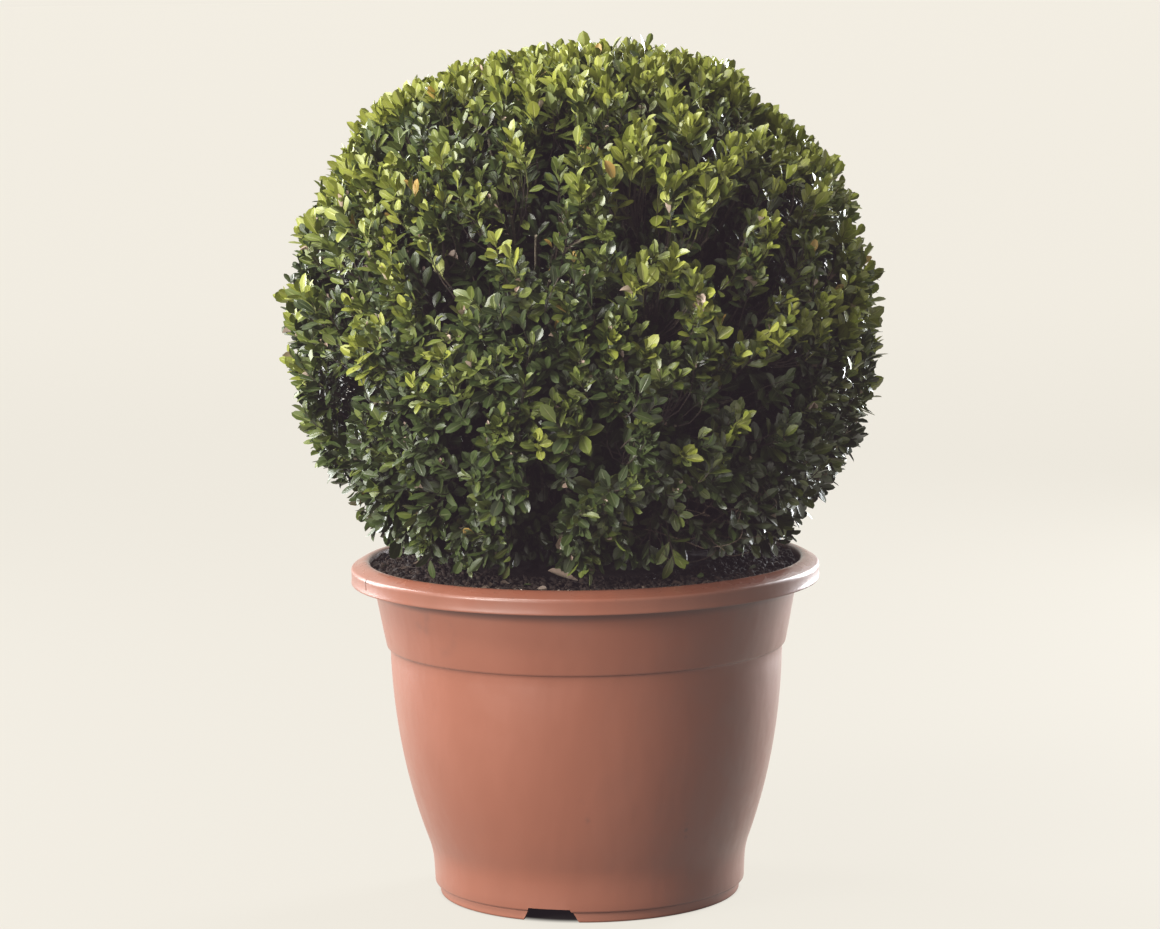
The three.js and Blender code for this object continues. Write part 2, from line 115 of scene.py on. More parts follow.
# %% [markdown]
# ## Building shaders
#
# Shader trees are made of few kinds of step: a node with its settings, two values combined,
# a value spread over a range, two colours mixed, and noise. Each has a helper that takes
# plain values and other nodes' outputs alike, so the finishes below read as sums.

# %% Set up the shader helpers
def join(tree, value, socket):
    """Links an output to an input socket, or gives the socket a plain value."""
    if isinstance(value, (int, float, tuple)):
        socket.default_value = value
    else:
        tree.links.new(value, socket)


def new_node(tree, kind, *values, **settings):
    """A shader node with some settings, and values for its first sockets."""
    node = tree.nodes.new("ShaderNode" + kind)
    for label, setting in settings.items():
        setattr(node, label, setting)
    for value, socket in zip(values, node.inputs):
        join(tree, value, socket)
    return node


def math_node(tree, operation, first, second=0.0, clamp=False):
    """Two values combined; returns the output."""
    return new_node(tree, "Math", first, second, operation=operation, use_clamp=clamp).outputs[0]


def product(tree, first, second):
    """One value times another; returns the output."""
    return math_node(tree, "MULTIPLY", first, second)


def length_of(tree, operation, *places):
    """The length of a vector, or the distance of two; returns the output."""
    return new_node(tree, "VectorMath", *places, operation=operation).outputs["Value"]


def ramp_value(tree, value, low, high, to_low=0.0, to_high=1.0):
    """A smooth Map Range from low..high to to_low..to_high; returns its output."""
    values = (value, low, high, to_low, to_high)
    return new_node(tree, "MapRange", *values, interpolation_type="SMOOTHSTEP").outputs["Result"]


def mix_colour(tree, share, first, second):
    """A mix of two colours; returns its output."""
    node = new_node(tree, "Mix", share, data_type="RGBA")
    join(tree, first, node.inputs[6])
    join(tree, second, node.inputs[7])
    return node.outputs[2]


def fill_in(tree, node, values):
    """Gives a node's named sockets their values, where _ stands for a space; returns the node."""
    for label, value in values.items():
        join(tree, value, node.inputs[label.replace("_", " ")])
    return node


def noise_at(tree, place, **values):
    """Noise at a place; returns its output."""
    return fill_in(tree, new_node(tree, "TexNoise", place), values).outputs[0]


def new_group(name, inputs, outputs):
    """An empty shader group with named sockets; returns what it is given, and its result node.

    A value says the kind of its socket by its length: a number, a vector or a colour.
    """
    group = bpy.data.node_groups.new(name, "ShaderNodeTree")
    for label, value in inputs.items():
        kind = {1: "NodeSocketFloat", 3: "NodeSocketVector", 4: "NodeSocketColor"}[np.size(value)]
        group.interface.new_socket(label, in_out="INPUT", socket_type=kind).default_value = value
    for label in outputs:
        kind = "NodeSocketColor" if label == "Color" else "NodeSocketFloat"
        group.interface.new_socket(label, in_out="OUTPUT", socket_type=kind)
    given = group.nodes.new("NodeGroupInput").outputs
    return group, given, group.nodes.new("NodeGroupOutput").inputs


print("shader helpers:", [f.__name__ for f in (new_node, math_node, ramp_value, mix_colour, noise_at)])

# %% [markdown]
# ## Mottled colour, fine grain and rubbed marks
#
# No real surface has one colour. Moulded plastic has faint clouds from the way it flowed,
# compost has damp and dry crumbs, and bark has pale and dark plates. All of these are noise
# between two colours, so one node group serves them all, with other colours and scales.
# Two more groups give the fine grain that dulls a surface, and the broken ring that a wet
# or dusty object leaves where it was set down or rubbed.

# %% Build the shared shader groups
mottle_group, given, result = new_group(
    "mottle",
    {
        "First Color": (0.5, 0.5, 0.5, 1),
        "Second Color": (0.4, 0.4, 0.4, 1),
        "Scale": 20.0,
        "Detail": 4.0,
        "Stretch": (1, 1, 1),
    },
    ["Color", "Mask"],
)
place = new_node(mottle_group, "TexCoord").outputs["Object"]
stretched = new_node(mottle_group, "VectorMath", place, given["Stretch"], operation="MULTIPLY").outputs[0]
clouds = noise_at(mottle_group, stretched, Scale=given["Scale"], Detail=given["Detail"])
mask = ramp_value(mottle_group, clouds, 0.36, 0.64)
colour = mix_colour(mottle_group, mask, given["First Color"], given["Second Color"])
join(mottle_group, colour, result["Color"])
join(mottle_group, mask, result["Mask"])

grain_group, given, result = new_group("fine_grain", {"Scale": 900.0}, ["Height"])
place = new_node(grain_group, "TexCoord").outputs["Object"]
grains = noise_at(grain_group, place, Scale=given["Scale"], Detail=3.0, Roughness=0.6)
join(grain_group, grains, result["Height"])

ring_group, given, result = new_group(
    "rubbed_ring", {"Centre": (0, 0, 0), "Radius": 0.02, "Width": 0.004}, ["Mask"]
)
place = new_node(ring_group, "TexCoord").outputs["Object"]
apart = length_of(ring_group, "DISTANCE", place, given["Centre"])
off = math_node(ring_group, "ABSOLUTE", math_node(ring_group, "SUBTRACT", apart, given["Radius"]))
share = math_node(ring_group, "DIVIDE", off, given["Width"])
band = math_node(ring_group, "SUBTRACT", 1.0, share, clamp=True)
broken = ramp_value(ring_group, noise_at(ring_group, place, Scale=60.0), 0.4, 0.62)
join(ring_group, product(ring_group, band, broken), result["Mask"])
print("shader groups:", [g.name for g in bpy.data.node_groups])

# %% [markdown]
# A material starts with one Principled shader. Its plain settings are set on the shader's
# own sockets, and groups feed only what changes over the surface. Most finishes here are
# two colours in clouds, so that start has a helper of its own.

# %% Start a material and add groups to it
def new_finish(name, **settings):
    """A material with one Principled BSDF, whose plain settings are set on its own sockets."""
    finish = bpy.data.materials.new(name)
    finish.use_nodes = True
    tree = finish.node_tree
    return finish, tree, fill_in(tree, tree.nodes["Principled BSDF"], settings)


def add_group(tree, group, **settings):
    """One use of a shader group, with its own values."""
    return fill_in(tree, new_node(tree, "Group", node_tree=group), settings)


def mottled_finish(name, first, second, scale, detail=4.0, stretch=(1, 1, 1), **settings):
    """A material whose colour is clouds of two colours; returns its cloud group too."""
    finish, tree, shader = new_finish(name, **settings)
    clouds = add_group(
        tree, mottle_group, First_Color=(*first, 1), Second_Color=(*second, 1),
        Scale=scale, Detail=detail, Stretch=stretch,
    )
    join(tree, clouds.outputs["Color"], shader.inputs["Base Color"])
    return finish, tree, shader, clouds


def add_bump(tree, shader, height, distance):
    """Feeds a height to the shader's normal, through a Bump node."""
    bump = fill_in(tree, new_node(tree, "Bump"), {"Distance": distance, "Height": height})
    join(tree, bump.outputs["Normal"], shader.inputs["Normal"])


print("helpers for finishes:", [f.__name__ for f in (new_finish, add_group, mottled_finish, add_bump)])

# %% [markdown]
# ## The pot
#
# The pot is one moulding of terracotta-coloured plastic: a foot, a swelling body, a collar
# that stands a few millimetres proud, and a rim rolled over into a skirt. It could be spun
# from a drawn profile. Here a ring is pulled through the profile instead, one extrusion at
# a time, as a turner works: from under the floor, out and up the outside, over the rim and
# down inside. Each fillet is a few short pulls, because a soft edge is what catches light.

# %% Pull a ring through a profile
def bend_to(start, pull, end, steps):
    """Points of a curve that leaves start towards pull and arrives at end."""
    shares = np.linspace(0, 1, steps + 1)[1:, None]
    start, pull, end = map(np.array, (start, pull, end))
    return [tuple(p) for p in (1 - shares) ** 2 * start + 2 * shares * (1 - shares) * pull + shares**2 * end]


def pull_rings(name, profile, sides):
    """A round piece whose ring passes through every (radius, height) of a profile."""
    deselect_all()
    radius, height = profile[0]
    bpy.ops.mesh.primitive_circle_add(vertices=sides, radius=radius, location=(0, 0, height))
    piece = bpy.context.object
    piece.name = name
    bpy.ops.object.transform_apply()
    bpy.ops.object.mode_set(mode="EDIT")
    bpy.context.tool_settings.mesh_select_mode = (False, True, False)
    bpy.ops.mesh.select_all(action="SELECT")
    for next_radius, next_height in profile[1:]:
        share = next_radius / radius
        rise = next_height - height
        bpy.ops.mesh.extrude_edges_move(TRANSFORM_OT_translate={"value": (0, 0, rise)})
        bpy.ops.transform.resize(value=(share, share, 1), center_override=(0, 0, next_height))
        radius, height = next_radius, next_height
    bpy.ops.mesh.edge_face_add()
    bpy.ops.mesh.select_all(action="DESELECT")
    bpy.ops.mesh.select_non_manifold()
    bpy.ops.mesh.edge_face_add()
    bpy.ops.mesh.select_all(action="SELECT")
    bpy.ops.mesh.normals_make_consistent(inside=False)
    bpy.ops.object.mode_set(mode="OBJECT")
    return piece


print("a bend in two steps:", bend_to((0, 0), (1, 0), (1, 1), 2))

# %% [markdown]
# The profile is drawn in four runs. The floor stands clear of the ground inside a foot ring,
# with a small ring moulded under it. The foot steps out to the body, the body swells up to
# the collar, and the collar steps out again to the rim, whose skirt hangs down outside.

# %% Draw the pot's profile and pull the pot
FLOOR = 0.013  # underside of the floor
WALL = 0.003
FOOT_RADIUS = 0.138
FOOT_STEP = 0.0098  # where the body steps out over the foot
STEP_HEIGHT = 0.232  # where the collar ends
SKIRT_FOOT = POT_HEIGHT - 0.020
POT_SIDES = 160

underside = [
    (0.020, FLOOR), (0.060, FLOOR), (0.0605, FLOOR - 0.0015), (0.0635, FLOOR - 0.0015),
    (0.0640, FLOOR), (0.090, FLOOR), (0.126, FLOOR),
    *bend_to((0.126, FLOOR), (0.1305, FLOOR), (0.1308, FLOOR - 0.004), 3),
    (0.1315, 0.0010), (0.1322, 0.0),
]
step_edge = (0.1814, STEP_HEIGHT - 0.0012)
outside = [
    (0.1355, 0.0), *bend_to((0.1355, 0.0), (FOOT_RADIUS, 0.0), (FOOT_RADIUS, 0.0024), 5),
    (FOOT_RADIUS + 0.0002, 0.0086),
    *bend_to((FOOT_RADIUS + 0.0002, 0.0086), (FOOT_RADIUS + 0.0003, FOOT_STEP), (0.1397, FOOT_STEP), 3),
    *bend_to((0.1397, FOOT_STEP), (0.1426, FOOT_STEP), (0.1427, 0.0122), 4),
    (0.1430, 0.0200), (0.1434, 0.0280), (0.1440, 0.0350),
    *bend_to((0.1440, 0.0350), (0.1452, 0.0440), (0.1482, 0.0520), 5),
    *bend_to((0.1482, 0.0520), (0.1775, 0.1330), (0.1798, STEP_HEIGHT - 0.0040), 22),
    *bend_to((0.1798, STEP_HEIGHT - 0.004), (0.1801, STEP_HEIGHT - 0.0016), step_edge, 3),
    *bend_to(step_edge, (0.1829, STEP_HEIGHT - 0.0008), (0.1832, STEP_HEIGHT + 0.001), 3),
    (0.1862, 0.2480), (0.1899, 0.2680), (0.1940, SKIRT_FOOT),
]
SKIRT = RIM_RADIUS - 0.0004
rim = [
    *bend_to((0.1940, SKIRT_FOOT), (0.1962, 0.3000), (0.2010, 0.3008), 5),
    *bend_to((0.2010, 0.3008), (0.2110, 0.3022), (0.2116, 0.2960), 5),
    (0.2120, SKIRT_FOOT + 0.0006), (0.2126, SKIRT_FOOT), (0.2139, SKIRT_FOOT),
    *bend_to((0.2139, SKIRT_FOOT), (RIM_RADIUS, SKIRT_FOOT + 0.0004), (SKIRT, SKIRT_FOOT + 0.0022), 3),
    (SKIRT - 0.0002, 0.2955), (SKIRT, 0.3005),
    *bend_to((SKIRT, 0.3005), (RIM_RADIUS + 0.0002, 0.3038), (0.2118, 0.3050), 6),
    (0.2090, 0.3068), (0.2060, 0.3084),
    *bend_to((0.2060, 0.3084), (0.2030, POT_HEIGHT), (0.2005, POT_HEIGHT), 4),
    *bend_to((0.2005, POT_HEIGHT), (0.1970, POT_HEIGHT), (0.1960, 0.3050), 6),
]
inside = [
    (0.1912, SKIRT_FOOT), (0.1770, 0.228), (0.1742, 0.190), (0.1660, 0.135),
    (0.1543, 0.085), (0.1420, 0.042), (0.1385, 0.021), (0.1335, FLOOR + WALL), (0.020, FLOOR + WALL),
]
pot_profile = underside + outside + rim + inside
pot = pull_rings("plastic_pot", pot_profile, POT_SIDES)
print("rings in the pot's profile:", len(pot_profile))

# %% [markdown]
# Water leaves by holes in the floor and notches in the foot. Each is a block or a peg that
# is shaped, turned to its bearing and taken away from the pot, which is how the mould's own
# inserts leave them. The pot has had a knock too: a thin blade cuts a short split in the
# rim. A narrow bevel then softens every edge that is still sharp.

# %% Cut the notches and drain holes
NOTCH_BEARING = math.radians(-105)  # the first notch, a little left of the front
NOTCH_FOOT_WIDTH, NOTCH_TOP_WIDTH, NOTCH_HEIGHT = 0.053, 0.038, 0.0130
NOTCH_LENGTH, OVERCUT = 0.06, 0.001  # the cutter reaches past the foot ring, and below it
DRAIN_CIRCLE, DRAIN_RADIUS = 0.104, 0.008
SPLIT_BEARING = math.radians(-156.7)
SPLIT_SIZE, SPLIT_HEIGHT = (0.0030, 0.0013, 0.0105), 0.2990


def take_away(piece, cutter):
    """Cuts a piece by a cutter, which is then removed."""
    pick(piece)
    bpy.ops.object.modifier_add(type="BOOLEAN")
    cut = piece.modifiers[-1]
    cut.operation = "DIFFERENCE"
    cut.solver = "EXACT"
    cut.object = cutter
    bpy.ops.object.modifier_apply(modifier=cut.name)
    pick(cutter)
    bpy.ops.object.delete()


def turn_to(cutter, bearing):
    """Turns a cutter about the pot's axis, and puts the turn into its mesh."""
    pick(cutter)
    cutter.rotation_euler.z = bearing
    bpy.ops.object.transform_apply()


def new_block(size, place):
    """A block of some size at a place, left open in edit mode with its origin on the axis."""
    deselect_all()
    bpy.ops.mesh.primitive_cube_add(size=1)
    bpy.ops.object.mode_set(mode="EDIT")
    bpy.ops.transform.resize(value=size)
    bpy.ops.transform.translate(value=place)
    return bpy.context.object


for i in range(3):
    notch_size = (NOTCH_LENGTH, NOTCH_FOOT_WIDTH, NOTCH_HEIGHT + OVERCUT)
    block = new_block(notch_size, (FOOT_RADIUS, 0, (NOTCH_HEIGHT - OVERCUT) / 2))
    bpy.ops.mesh.select_all(action="DESELECT")
    block_mesh = bmesh.from_edit_mesh(block.data)
    for face in block_mesh.faces:
        face.select_set(face.normal.z > 0.9)
    narrowing = NOTCH_TOP_WIDTH / NOTCH_FOOT_WIDTH
    bpy.ops.transform.resize(value=(1, narrowing, 1), center_override=(FOOT_RADIUS, 0, NOTCH_HEIGHT))
    turn_to(block, NOTCH_BEARING + i * math.tau / 3)
    take_away(pot, block)

for i in range(6):
    deselect_all()
    bearing = NOTCH_BEARING + i * math.tau / 6
    place = (DRAIN_CIRCLE * math.cos(bearing), DRAIN_CIRCLE * math.sin(bearing), FLOOR + WALL / 2)
    bpy.ops.mesh.primitive_cylinder_add(vertices=32, radius=DRAIN_RADIUS, depth=4 * WALL, location=place)
    peg = bpy.context.object
    bpy.ops.object.transform_apply()
    take_away(pot, peg)

blade = new_block(SPLIT_SIZE, (RIM_RADIUS, 0, SPLIT_HEIGHT))
turn_to(blade, SPLIT_BEARING)
take_away(pot, blade)
print("faces after the cuts:", len(pot.data.polygons))

# %% [markdown]
# Only edges sharper than fifty degrees are bevelled, so the fillets drawn in the profile
# are left as they are.

# %% Soften the cut edges
pick(pot)
bpy.ops.object.modifier_add(type="BEVEL")
soften = pot.modifiers[-1]
soften.width = 0.0005
soften.segments = 2
soften.limit_method = "ANGLE"
soften.angle_limit = math.radians(50)
soften.harden_normals = False
bpy.ops.object.modifier_apply(modifier=soften.name)
print("pot faces:", len(pot.data.polygons))

# %% [markdown]
# The plastic is a dusty orange brown, neither matt nor shiny. Its colour clouds slightly,
# in bands that lie along the way it flowed, and dust lies in patches under the rim and
# above the foot. All of it is worked out from where a point is on the pot.

# %% Cloud and dust the plastic
plastic, tree, shader = new_finish("terracotta_plastic", IOR=1.47, Coat_Roughness=0.32)
clouds = add_group(
    tree, mottle_group, First_Color=(0.278, 0.093, 0.053, 1), Second_Color=(0.305, 0.107, 0.064, 1),
    Scale=9.0, Detail=3.0, Stretch=(1, 1, 0.45),
)
place = new_node(tree, "TexCoord").outputs["Object"]
height = new_node(tree, "SeparateXYZ", place).outputs["Z"]
under_rim = ramp_value(tree, height, 0.268, 0.288, 0.0, 0.24)
low_down = ramp_value(tree, height, 0.070, 0.010, 0.0, 0.06)
patches = add_group(tree, mottle_group, Scale=26.0, Detail=5.0)
dust_share = product(tree, math_node(tree, "ADD", under_rim, low_down), patches.outputs["Mask"])
colour = mix_colour(tree, dust_share, clouds.outputs["Color"], (0.22, 0.115, 0.082, 1))
print("plastic so far:", len(tree.nodes), "nodes")

# %% [markdown]
# Handling has left marks: a broken ring where something wet stood, dark rubs, and a short
# scratch low on the right, which is four small rubs in a row. Each is one use of the ring
# group, and a ring of no radius is a spot.

# %% Rub the plastic
RUB_COLOUR = (0.13, 0.065, 0.050, 1)
RUBS = [  # centre, radius, width, strength
    ((-0.147, -0.123, 0.275), 0.010, 0.0090, 0.26),
    ((-0.130, -0.138, 0.262), 0.017, 0.0060, 0.16),
    ((-0.197, -0.085, 0.302), 0.000, 0.0050, 0.95),
    ((-0.007, -0.166, 0.115), 0.000, 0.0050, 0.60),
    ((-0.003, -0.162, 0.098), 0.002, 0.0035, 0.45),
    ((0.105, -0.105, 0.050), 0.020, 0.0080, 0.12),
    ((0.0870, -0.1367, 0.0950), 0.000, 0.0030, 0.75),
    ((0.0867, -0.1347, 0.0885), 0.000, 0.0034, 0.85),
    ((0.0866, -0.1325, 0.0820), 0.000, 0.0032, 0.85),
    ((0.0863, -0.1301, 0.0750), 0.000, 0.0028, 0.70),
    ((0.020, 0.180, 0.180), 0.030, 0.0060, 0.20),
]
for centre, radius, width, strength in RUBS:
    rub = add_group(tree, ring_group, Centre=centre, Radius=radius, Width=width)
    colour = mix_colour(tree, product(tree, rub.outputs["Mask"], strength), colour, RUB_COLOUR)
print("marks on the plastic:", len(RUBS))

# %% [markdown]
# The foot under its step is painted paler, painted light against the shade that the step
# throws on it, and the rim is a shade deeper than the body. The wall just under the skirt is
# painted dark, painted shade where the skirt's overhang shades it. Soil dulls the wall inside
# the rim, and compost has spattered the rim's top, as specks where the cells of a Voronoi
# pattern have their middles.

# %% Paint light on the foot and shade under the skirt, deepen the rim, and spatter it
# Painted light: the foot under its step is paled against the shade that the step throws on it.
light_painted_on_foot = ramp_value(tree, height, FOOT_STEP, FOOT_STEP - 0.001, 0.0, 0.42)
colour = mix_colour(tree, light_painted_on_foot, colour, (0.46, 0.19, 0.125, 1))
on_rim = ramp_value(tree, height, SKIRT_FOOT - 0.0015, SKIRT_FOOT + 0.001, 0.0, 0.32)
colour = mix_colour(tree, on_rim, colour, (0.205, 0.068, 0.040, 1))
# Painted shade: the wall just under the skirt is darkened where the skirt's overhang shades it.
shade_painted_under_skirt = ramp_value(tree, height, SKIRT_FOOT - 0.0115, SKIRT_FOOT - 0.0038, 0.0, 0.62)
below_skirt = ramp_value(tree, height, SKIRT_FOOT + 0.0005, SKIRT_FOOT - 0.0005)
colour = mix_colour(tree, product(tree, shade_painted_under_skirt, below_skirt), colour, (0.050, 0.022, 0.016, 1))

specks = fill_in(tree, new_node(tree, "TexVoronoi", place), {"Scale": 140.0})
in_speck = ramp_value(tree, specks.outputs["Distance"], 0.16, 0.10)
near_top = ramp_value(tree, height, 0.300, 0.308, 0.0, 0.7)
sparse = add_group(tree, mottle_group, Scale=34.0, Detail=2.0)
speck_share = product(tree, product(tree, in_speck, near_top), sparse.outputs["Mask"])
colour = mix_colour(tree, speck_share, colour, (0.05, 0.03, 0.02, 1))

flat_place = new_node(tree, "VectorMath", place, (1, 1, 0), operation="MULTIPLY").outputs[0]
near_axis = ramp_value(tree, length_of(tree, "LENGTH", flat_place), 0.1985, 0.1965)
above_skirt = ramp_value(tree, height, SKIRT_FOOT - 0.0005, SKIRT_FOOT + 0.0005)
inside_wall = product(tree, near_axis, above_skirt)
colour = mix_colour(tree, product(tree, inside_wall, 0.6), colour, (0.130, 0.078, 0.056, 1))
join(tree, colour, shader.inputs["Base Color"])
print("plastic with its colour:", len(tree.nodes), "nodes")

# %% [markdown]
# The gloss is a thin coat over a duller body, and the soiled inside has neither. Clouds in
# the roughness break up the reflections, hands have polished the rim's top, and a fine
# grain with slow waves keeps the long highlights from running dead straight.

# %% Gloss the plastic and put it on the pot
sheen_clouds = add_group(tree, mottle_group, Scale=40.0, Detail=6.0)
dullness = ramp_value(tree, sheen_clouds.outputs["Mask"], 0.0, 1.0, 0.33, 0.41)
dullness = math_node(tree, "ADD", dullness, product(tree, inside_wall, 0.35))
handled = ramp_value(tree, height, 0.3045, 0.3075, 0.0, 0.13)
join(tree, math_node(tree, "SUBTRACT", dullness, handled), shader.inputs["Roughness"])
join(tree, ramp_value(tree, inside_wall, 0.0, 1.0, 0.30, 0.02), shader.inputs["Coat Weight"])
grain = add_group(tree, grain_group, Scale=1400.0)
waves = add_group(tree, mottle_group, Scale=30.0, Detail=2.0, Stretch=(1, 1, 0.5))
relief = math_node(tree, "ADD", product(tree, grain.outputs["Height"], 0.10), waves.outputs["Mask"])
add_bump(tree, shader, relief, 0.00022)
settle(pot, plastic, "pot_plastic", "pot", crisp=40)

# %% [markdown]
# ## Smooth random values
#
# Compost, bark and the gaps in the foliage all need values that wander smoothly through
# space and come out the same each time. Random numbers on a lattice, blended between its
# corners, give that for whole arrays of points at once.

# %% Wander smoothly through space
def wander(points, cell, seed):
    """Values from 0 to 1 that change smoothly over about one cell, for an array of points.

    Large odd numbers scramble each lattice corner and the seed into the corner's own value.
    """
    scaled = points / cell
    corner = np.floor(scaled).astype(np.int64)
    share = scaled - corner
    share = share * share * (3 - 2 * share)
    total = np.zeros(points.shape[:-1])
    for step in np.ndindex(2, 2, 2):
        at = corner + np.array(step)
        mixed = at[..., 0] * 374761393 + at[..., 1] * 668265263 + at[..., 2] * 1274126177 + seed * 69069
        mixed = (mixed ^ (mixed >> 13)) * 1103515245
        value = ((mixed ^ (mixed >> 16)) & 0xFFFF) / 0xFFFF
        total += value * np.prod(np.where(step, share, 1 - share), axis=-1)
    return total


print("wandering values:", wander(np.array([[0.0, 0.0, 0.0], [0.01, 0.0, 0.0]]), 0.03, 1).round(3))

# %% [markdown]
# Pieces of thousands of parts are worked out as arrays of points and faces. These helpers
# read a mesh as an array, write it back, and make a whole piece from arrays at once.

# %% Trade meshes for arrays and back
def around(radius, bearing, height):
    """Points at a radius and bearing from the upright axis, at a height."""
    return np.stack([radius * np.cos(bearing), radius * np.sin(bearing), height], -1)


def unit(vectors):
    """Each vector at length one."""
    return vectors / np.maximum(np.linalg.norm(vectors, axis=-1, keepdims=True), 1e-9)


def points_of(piece):
    """A mesh's points as an array."""
    flat = np.empty(len(piece.data.vertices) * 3, np.float32)
    piece.data.vertices.foreach_get("co", flat)
    return flat.reshape(-1, 3).astype(float)


def move_points(piece, points):
    """Puts an array of points back into a mesh."""
    piece.data.vertices.foreach_set("co", points.astype(np.float32).ravel())
    piece.data.update()


def array_piece(name, points, *face_groups):
    """A mesh from an array of points and arrays of faces, each array with its own corner count."""
    mesh = bpy.data.meshes.new(name)
    corners = np.concatenate([group.ravel() for group in face_groups])
    sizes = np.concatenate([np.full(len(group), group.shape[1]) for group in face_groups])
    mesh.vertices.add(len(points))
    mesh.loops.add(len(corners))
    mesh.polygons.add(len(sizes))
    mesh.vertices.foreach_set("co", points.astype(np.float32).ravel())
    mesh.loops.foreach_set("vertex_index", corners.astype(np.int32))
    mesh.polygons.foreach_set("loop_start", (np.cumsum(sizes) - sizes).astype(np.int32))
    mesh.update(calc_edges=True)
    piece = bpy.data.objects.new(name, mesh)
    bpy.context.collection.objects.link(piece)
    return piece


print("a direction at length one:", unit(np.array([3.0, 4.0, 0.0])))

# %% [markdown]
# ## The compost
#
# The pot is filled to the lip with dark peaty compost, level round the trunk and falling
# towards the wall. A smooth dark disc would look like paint, so the bed is pulled like the
# pot, in many fine rings, and its top is then given lumps of three sizes.

# %% Fill the pot
rng = np.random.default_rng(11)
SOIL_EDGE_HEIGHT = 0.304
SOIL_FLAT_RADIUS = 0.060
SOIL_EDGE_RADIUS = 0.1956
BED_SIDES = 256


def soil_height(radius):
    """Height of the compost: level round the trunk, then falling to the wall."""
    share = np.clip((radius - SOIL_FLAT_RADIUS) / (SOIL_EDGE_RADIUS - SOIL_FLAT_RADIUS), 0, 1)
    return SOIL_TOP - (SOIL_TOP - SOIL_EDGE_HEIGHT) * share * share * (3 - 2 * share)


bed_side = [
    (0.130, FLOOR + WALL + 0.0006), (0.1378, 0.0215), (0.1413, 0.042), (0.1536, 0.085),
    (0.1653, 0.135), (0.1736, 0.190), (0.1764, 0.228), (0.1905, SKIRT_FOOT), (0.1953, SOIL_EDGE_HEIGHT),
]
bed_top = [(r, float(soil_height(r))) for r in np.linspace(0.1942, 0.008, 80)]
bed = pull_rings("compost_bed", bed_side + bed_top, BED_SIDES)
bed_points = points_of(bed)
on_top = bed_points[:, 2] > SOIL_EDGE_HEIGHT - 0.001
lumps = wander(bed_points, 0.016, 3)
lumps += 0.6 * wander(bed_points, 0.007, 4) + 0.35 * wander(bed_points, 0.0035, 5)
bed_points[on_top, 2] += 0.0032 * (lumps[on_top] - 1.15)
move_points(bed, bed_points)

compost, tree, shader, clods = mottled_finish(
    "damp_compost", (0.013, 0.009, 0.007), (0.046, 0.031, 0.024), 160.0, 6.0, Specular_IOR_Level=0.25
)
join(tree, ramp_value(tree, clods.outputs["Mask"], 0, 1, 0.70, 0.95), shader.inputs["Roughness"])
grit = add_group(tree, grain_group, Scale=700.0)
add_bump(tree, shader, grit.outputs["Height"], 0.0008)
settle(bed, compost, "compost", "soil", crisp=60)

# %% [markdown]
# Thousands of crumbs lie on the bed. They are twenty-sided grains, squashed and turned at
# random, all in one mesh. A second lot, smaller and drier, breaks up the dark surface.

# %% Scatter the crumbs
def grain_template():
    """Points and triangles of a twenty-sided grain."""
    deselect_all()
    bpy.ops.mesh.primitive_ico_sphere_add(subdivisions=1, radius=1)
    ball = bpy.context.object
    points = points_of(ball)
    faces = np.array([tuple(face.vertices) for face in ball.data.polygons])
    bpy.ops.object.delete()
    return points, faces


def random_turns(count):
    """Random rotation matrices."""
    q = unit(rng.normal(size=(count, 4)))
    w, x, y, z = q.T
    rows = [
        [1 - 2 * (y * y + z * z), 2 * (x * y - z * w), 2 * (x * z + y * w)],
        [2 * (x * y + z * w), 1 - 2 * (x * x + z * z), 2 * (y * z - x * w)],
        [2 * (x * z - y * w), 2 * (y * z + x * w), 1 - 2 * (x * x + y * y)],
    ]
    return np.moveaxis(np.array(rows), -1, 0)


GRAIN_POINTS, GRAIN_FACES = grain_template()
CRUMBS_FROM, CRUMBS_TO = 0.12, 0.1940  # radii; nobody sees the compost nearer the trunk


def scatter_crumbs(name, finish, count, smallest, largest):
    """Many crumbs lying on the compost, joined in one mesh."""
    radius = np.sqrt(rng.uniform(CRUMBS_FROM**2, CRUMBS_TO**2, count))
    bearing = rng.uniform(0, math.tau, count)
    size = smallest + (largest - smallest) * rng.random(count) ** 3
    centre = around(radius, bearing, soil_height(radius))
    centre[:, 2] += 0.35 * size
    stretch = rng.uniform(0.40, 1.0, (count, 1, 3)) * size[:, None, None]
    bumpy = GRAIN_POINTS * rng.uniform(0.75, 1.15, (count, len(GRAIN_POINTS), 1)) * stretch
    turned = np.einsum("nij,nkj->nki", random_turns(count), bumpy)
    points = (centre[:, None] + turned).reshape(-1, 3)
    faces = (np.arange(count)[:, None, None] * len(GRAIN_POINTS) + GRAIN_FACES).reshape(-1, 3)
    settle(array_piece(name, points, faces), finish, "compost", crisp=70)


dry_crumb, tree, shader, _ = mottled_finish(
    "dry_crumbs", (0.060, 0.040, 0.030), (0.180, 0.125, 0.095), 220.0, Roughness=0.95, Specular_IOR_Level=0.2
)
grit = add_group(tree, grain_group, Scale=900.0)
add_bump(tree, shader, grit.outputs["Height"], 0.0005)
scatter_crumbs("compost_crumbs", compost, 8000, 0.0009, 0.0044)
scatter_crumbs("dry_compost_crumbs", dry_crumb, 1900, 0.0005, 0.0022)

# %% [markdown]
# ## The wood
#
# Box has a short stout trunk with pale, corky, finely cracked bark, which forks a few
# centimetres above the compost. A curve is drawn up the middle of each limb with a radius at
# each of its points, and turned into a mesh. The bark is then raised in that mesh itself:
# plates that run along the limb, with cracks between them.

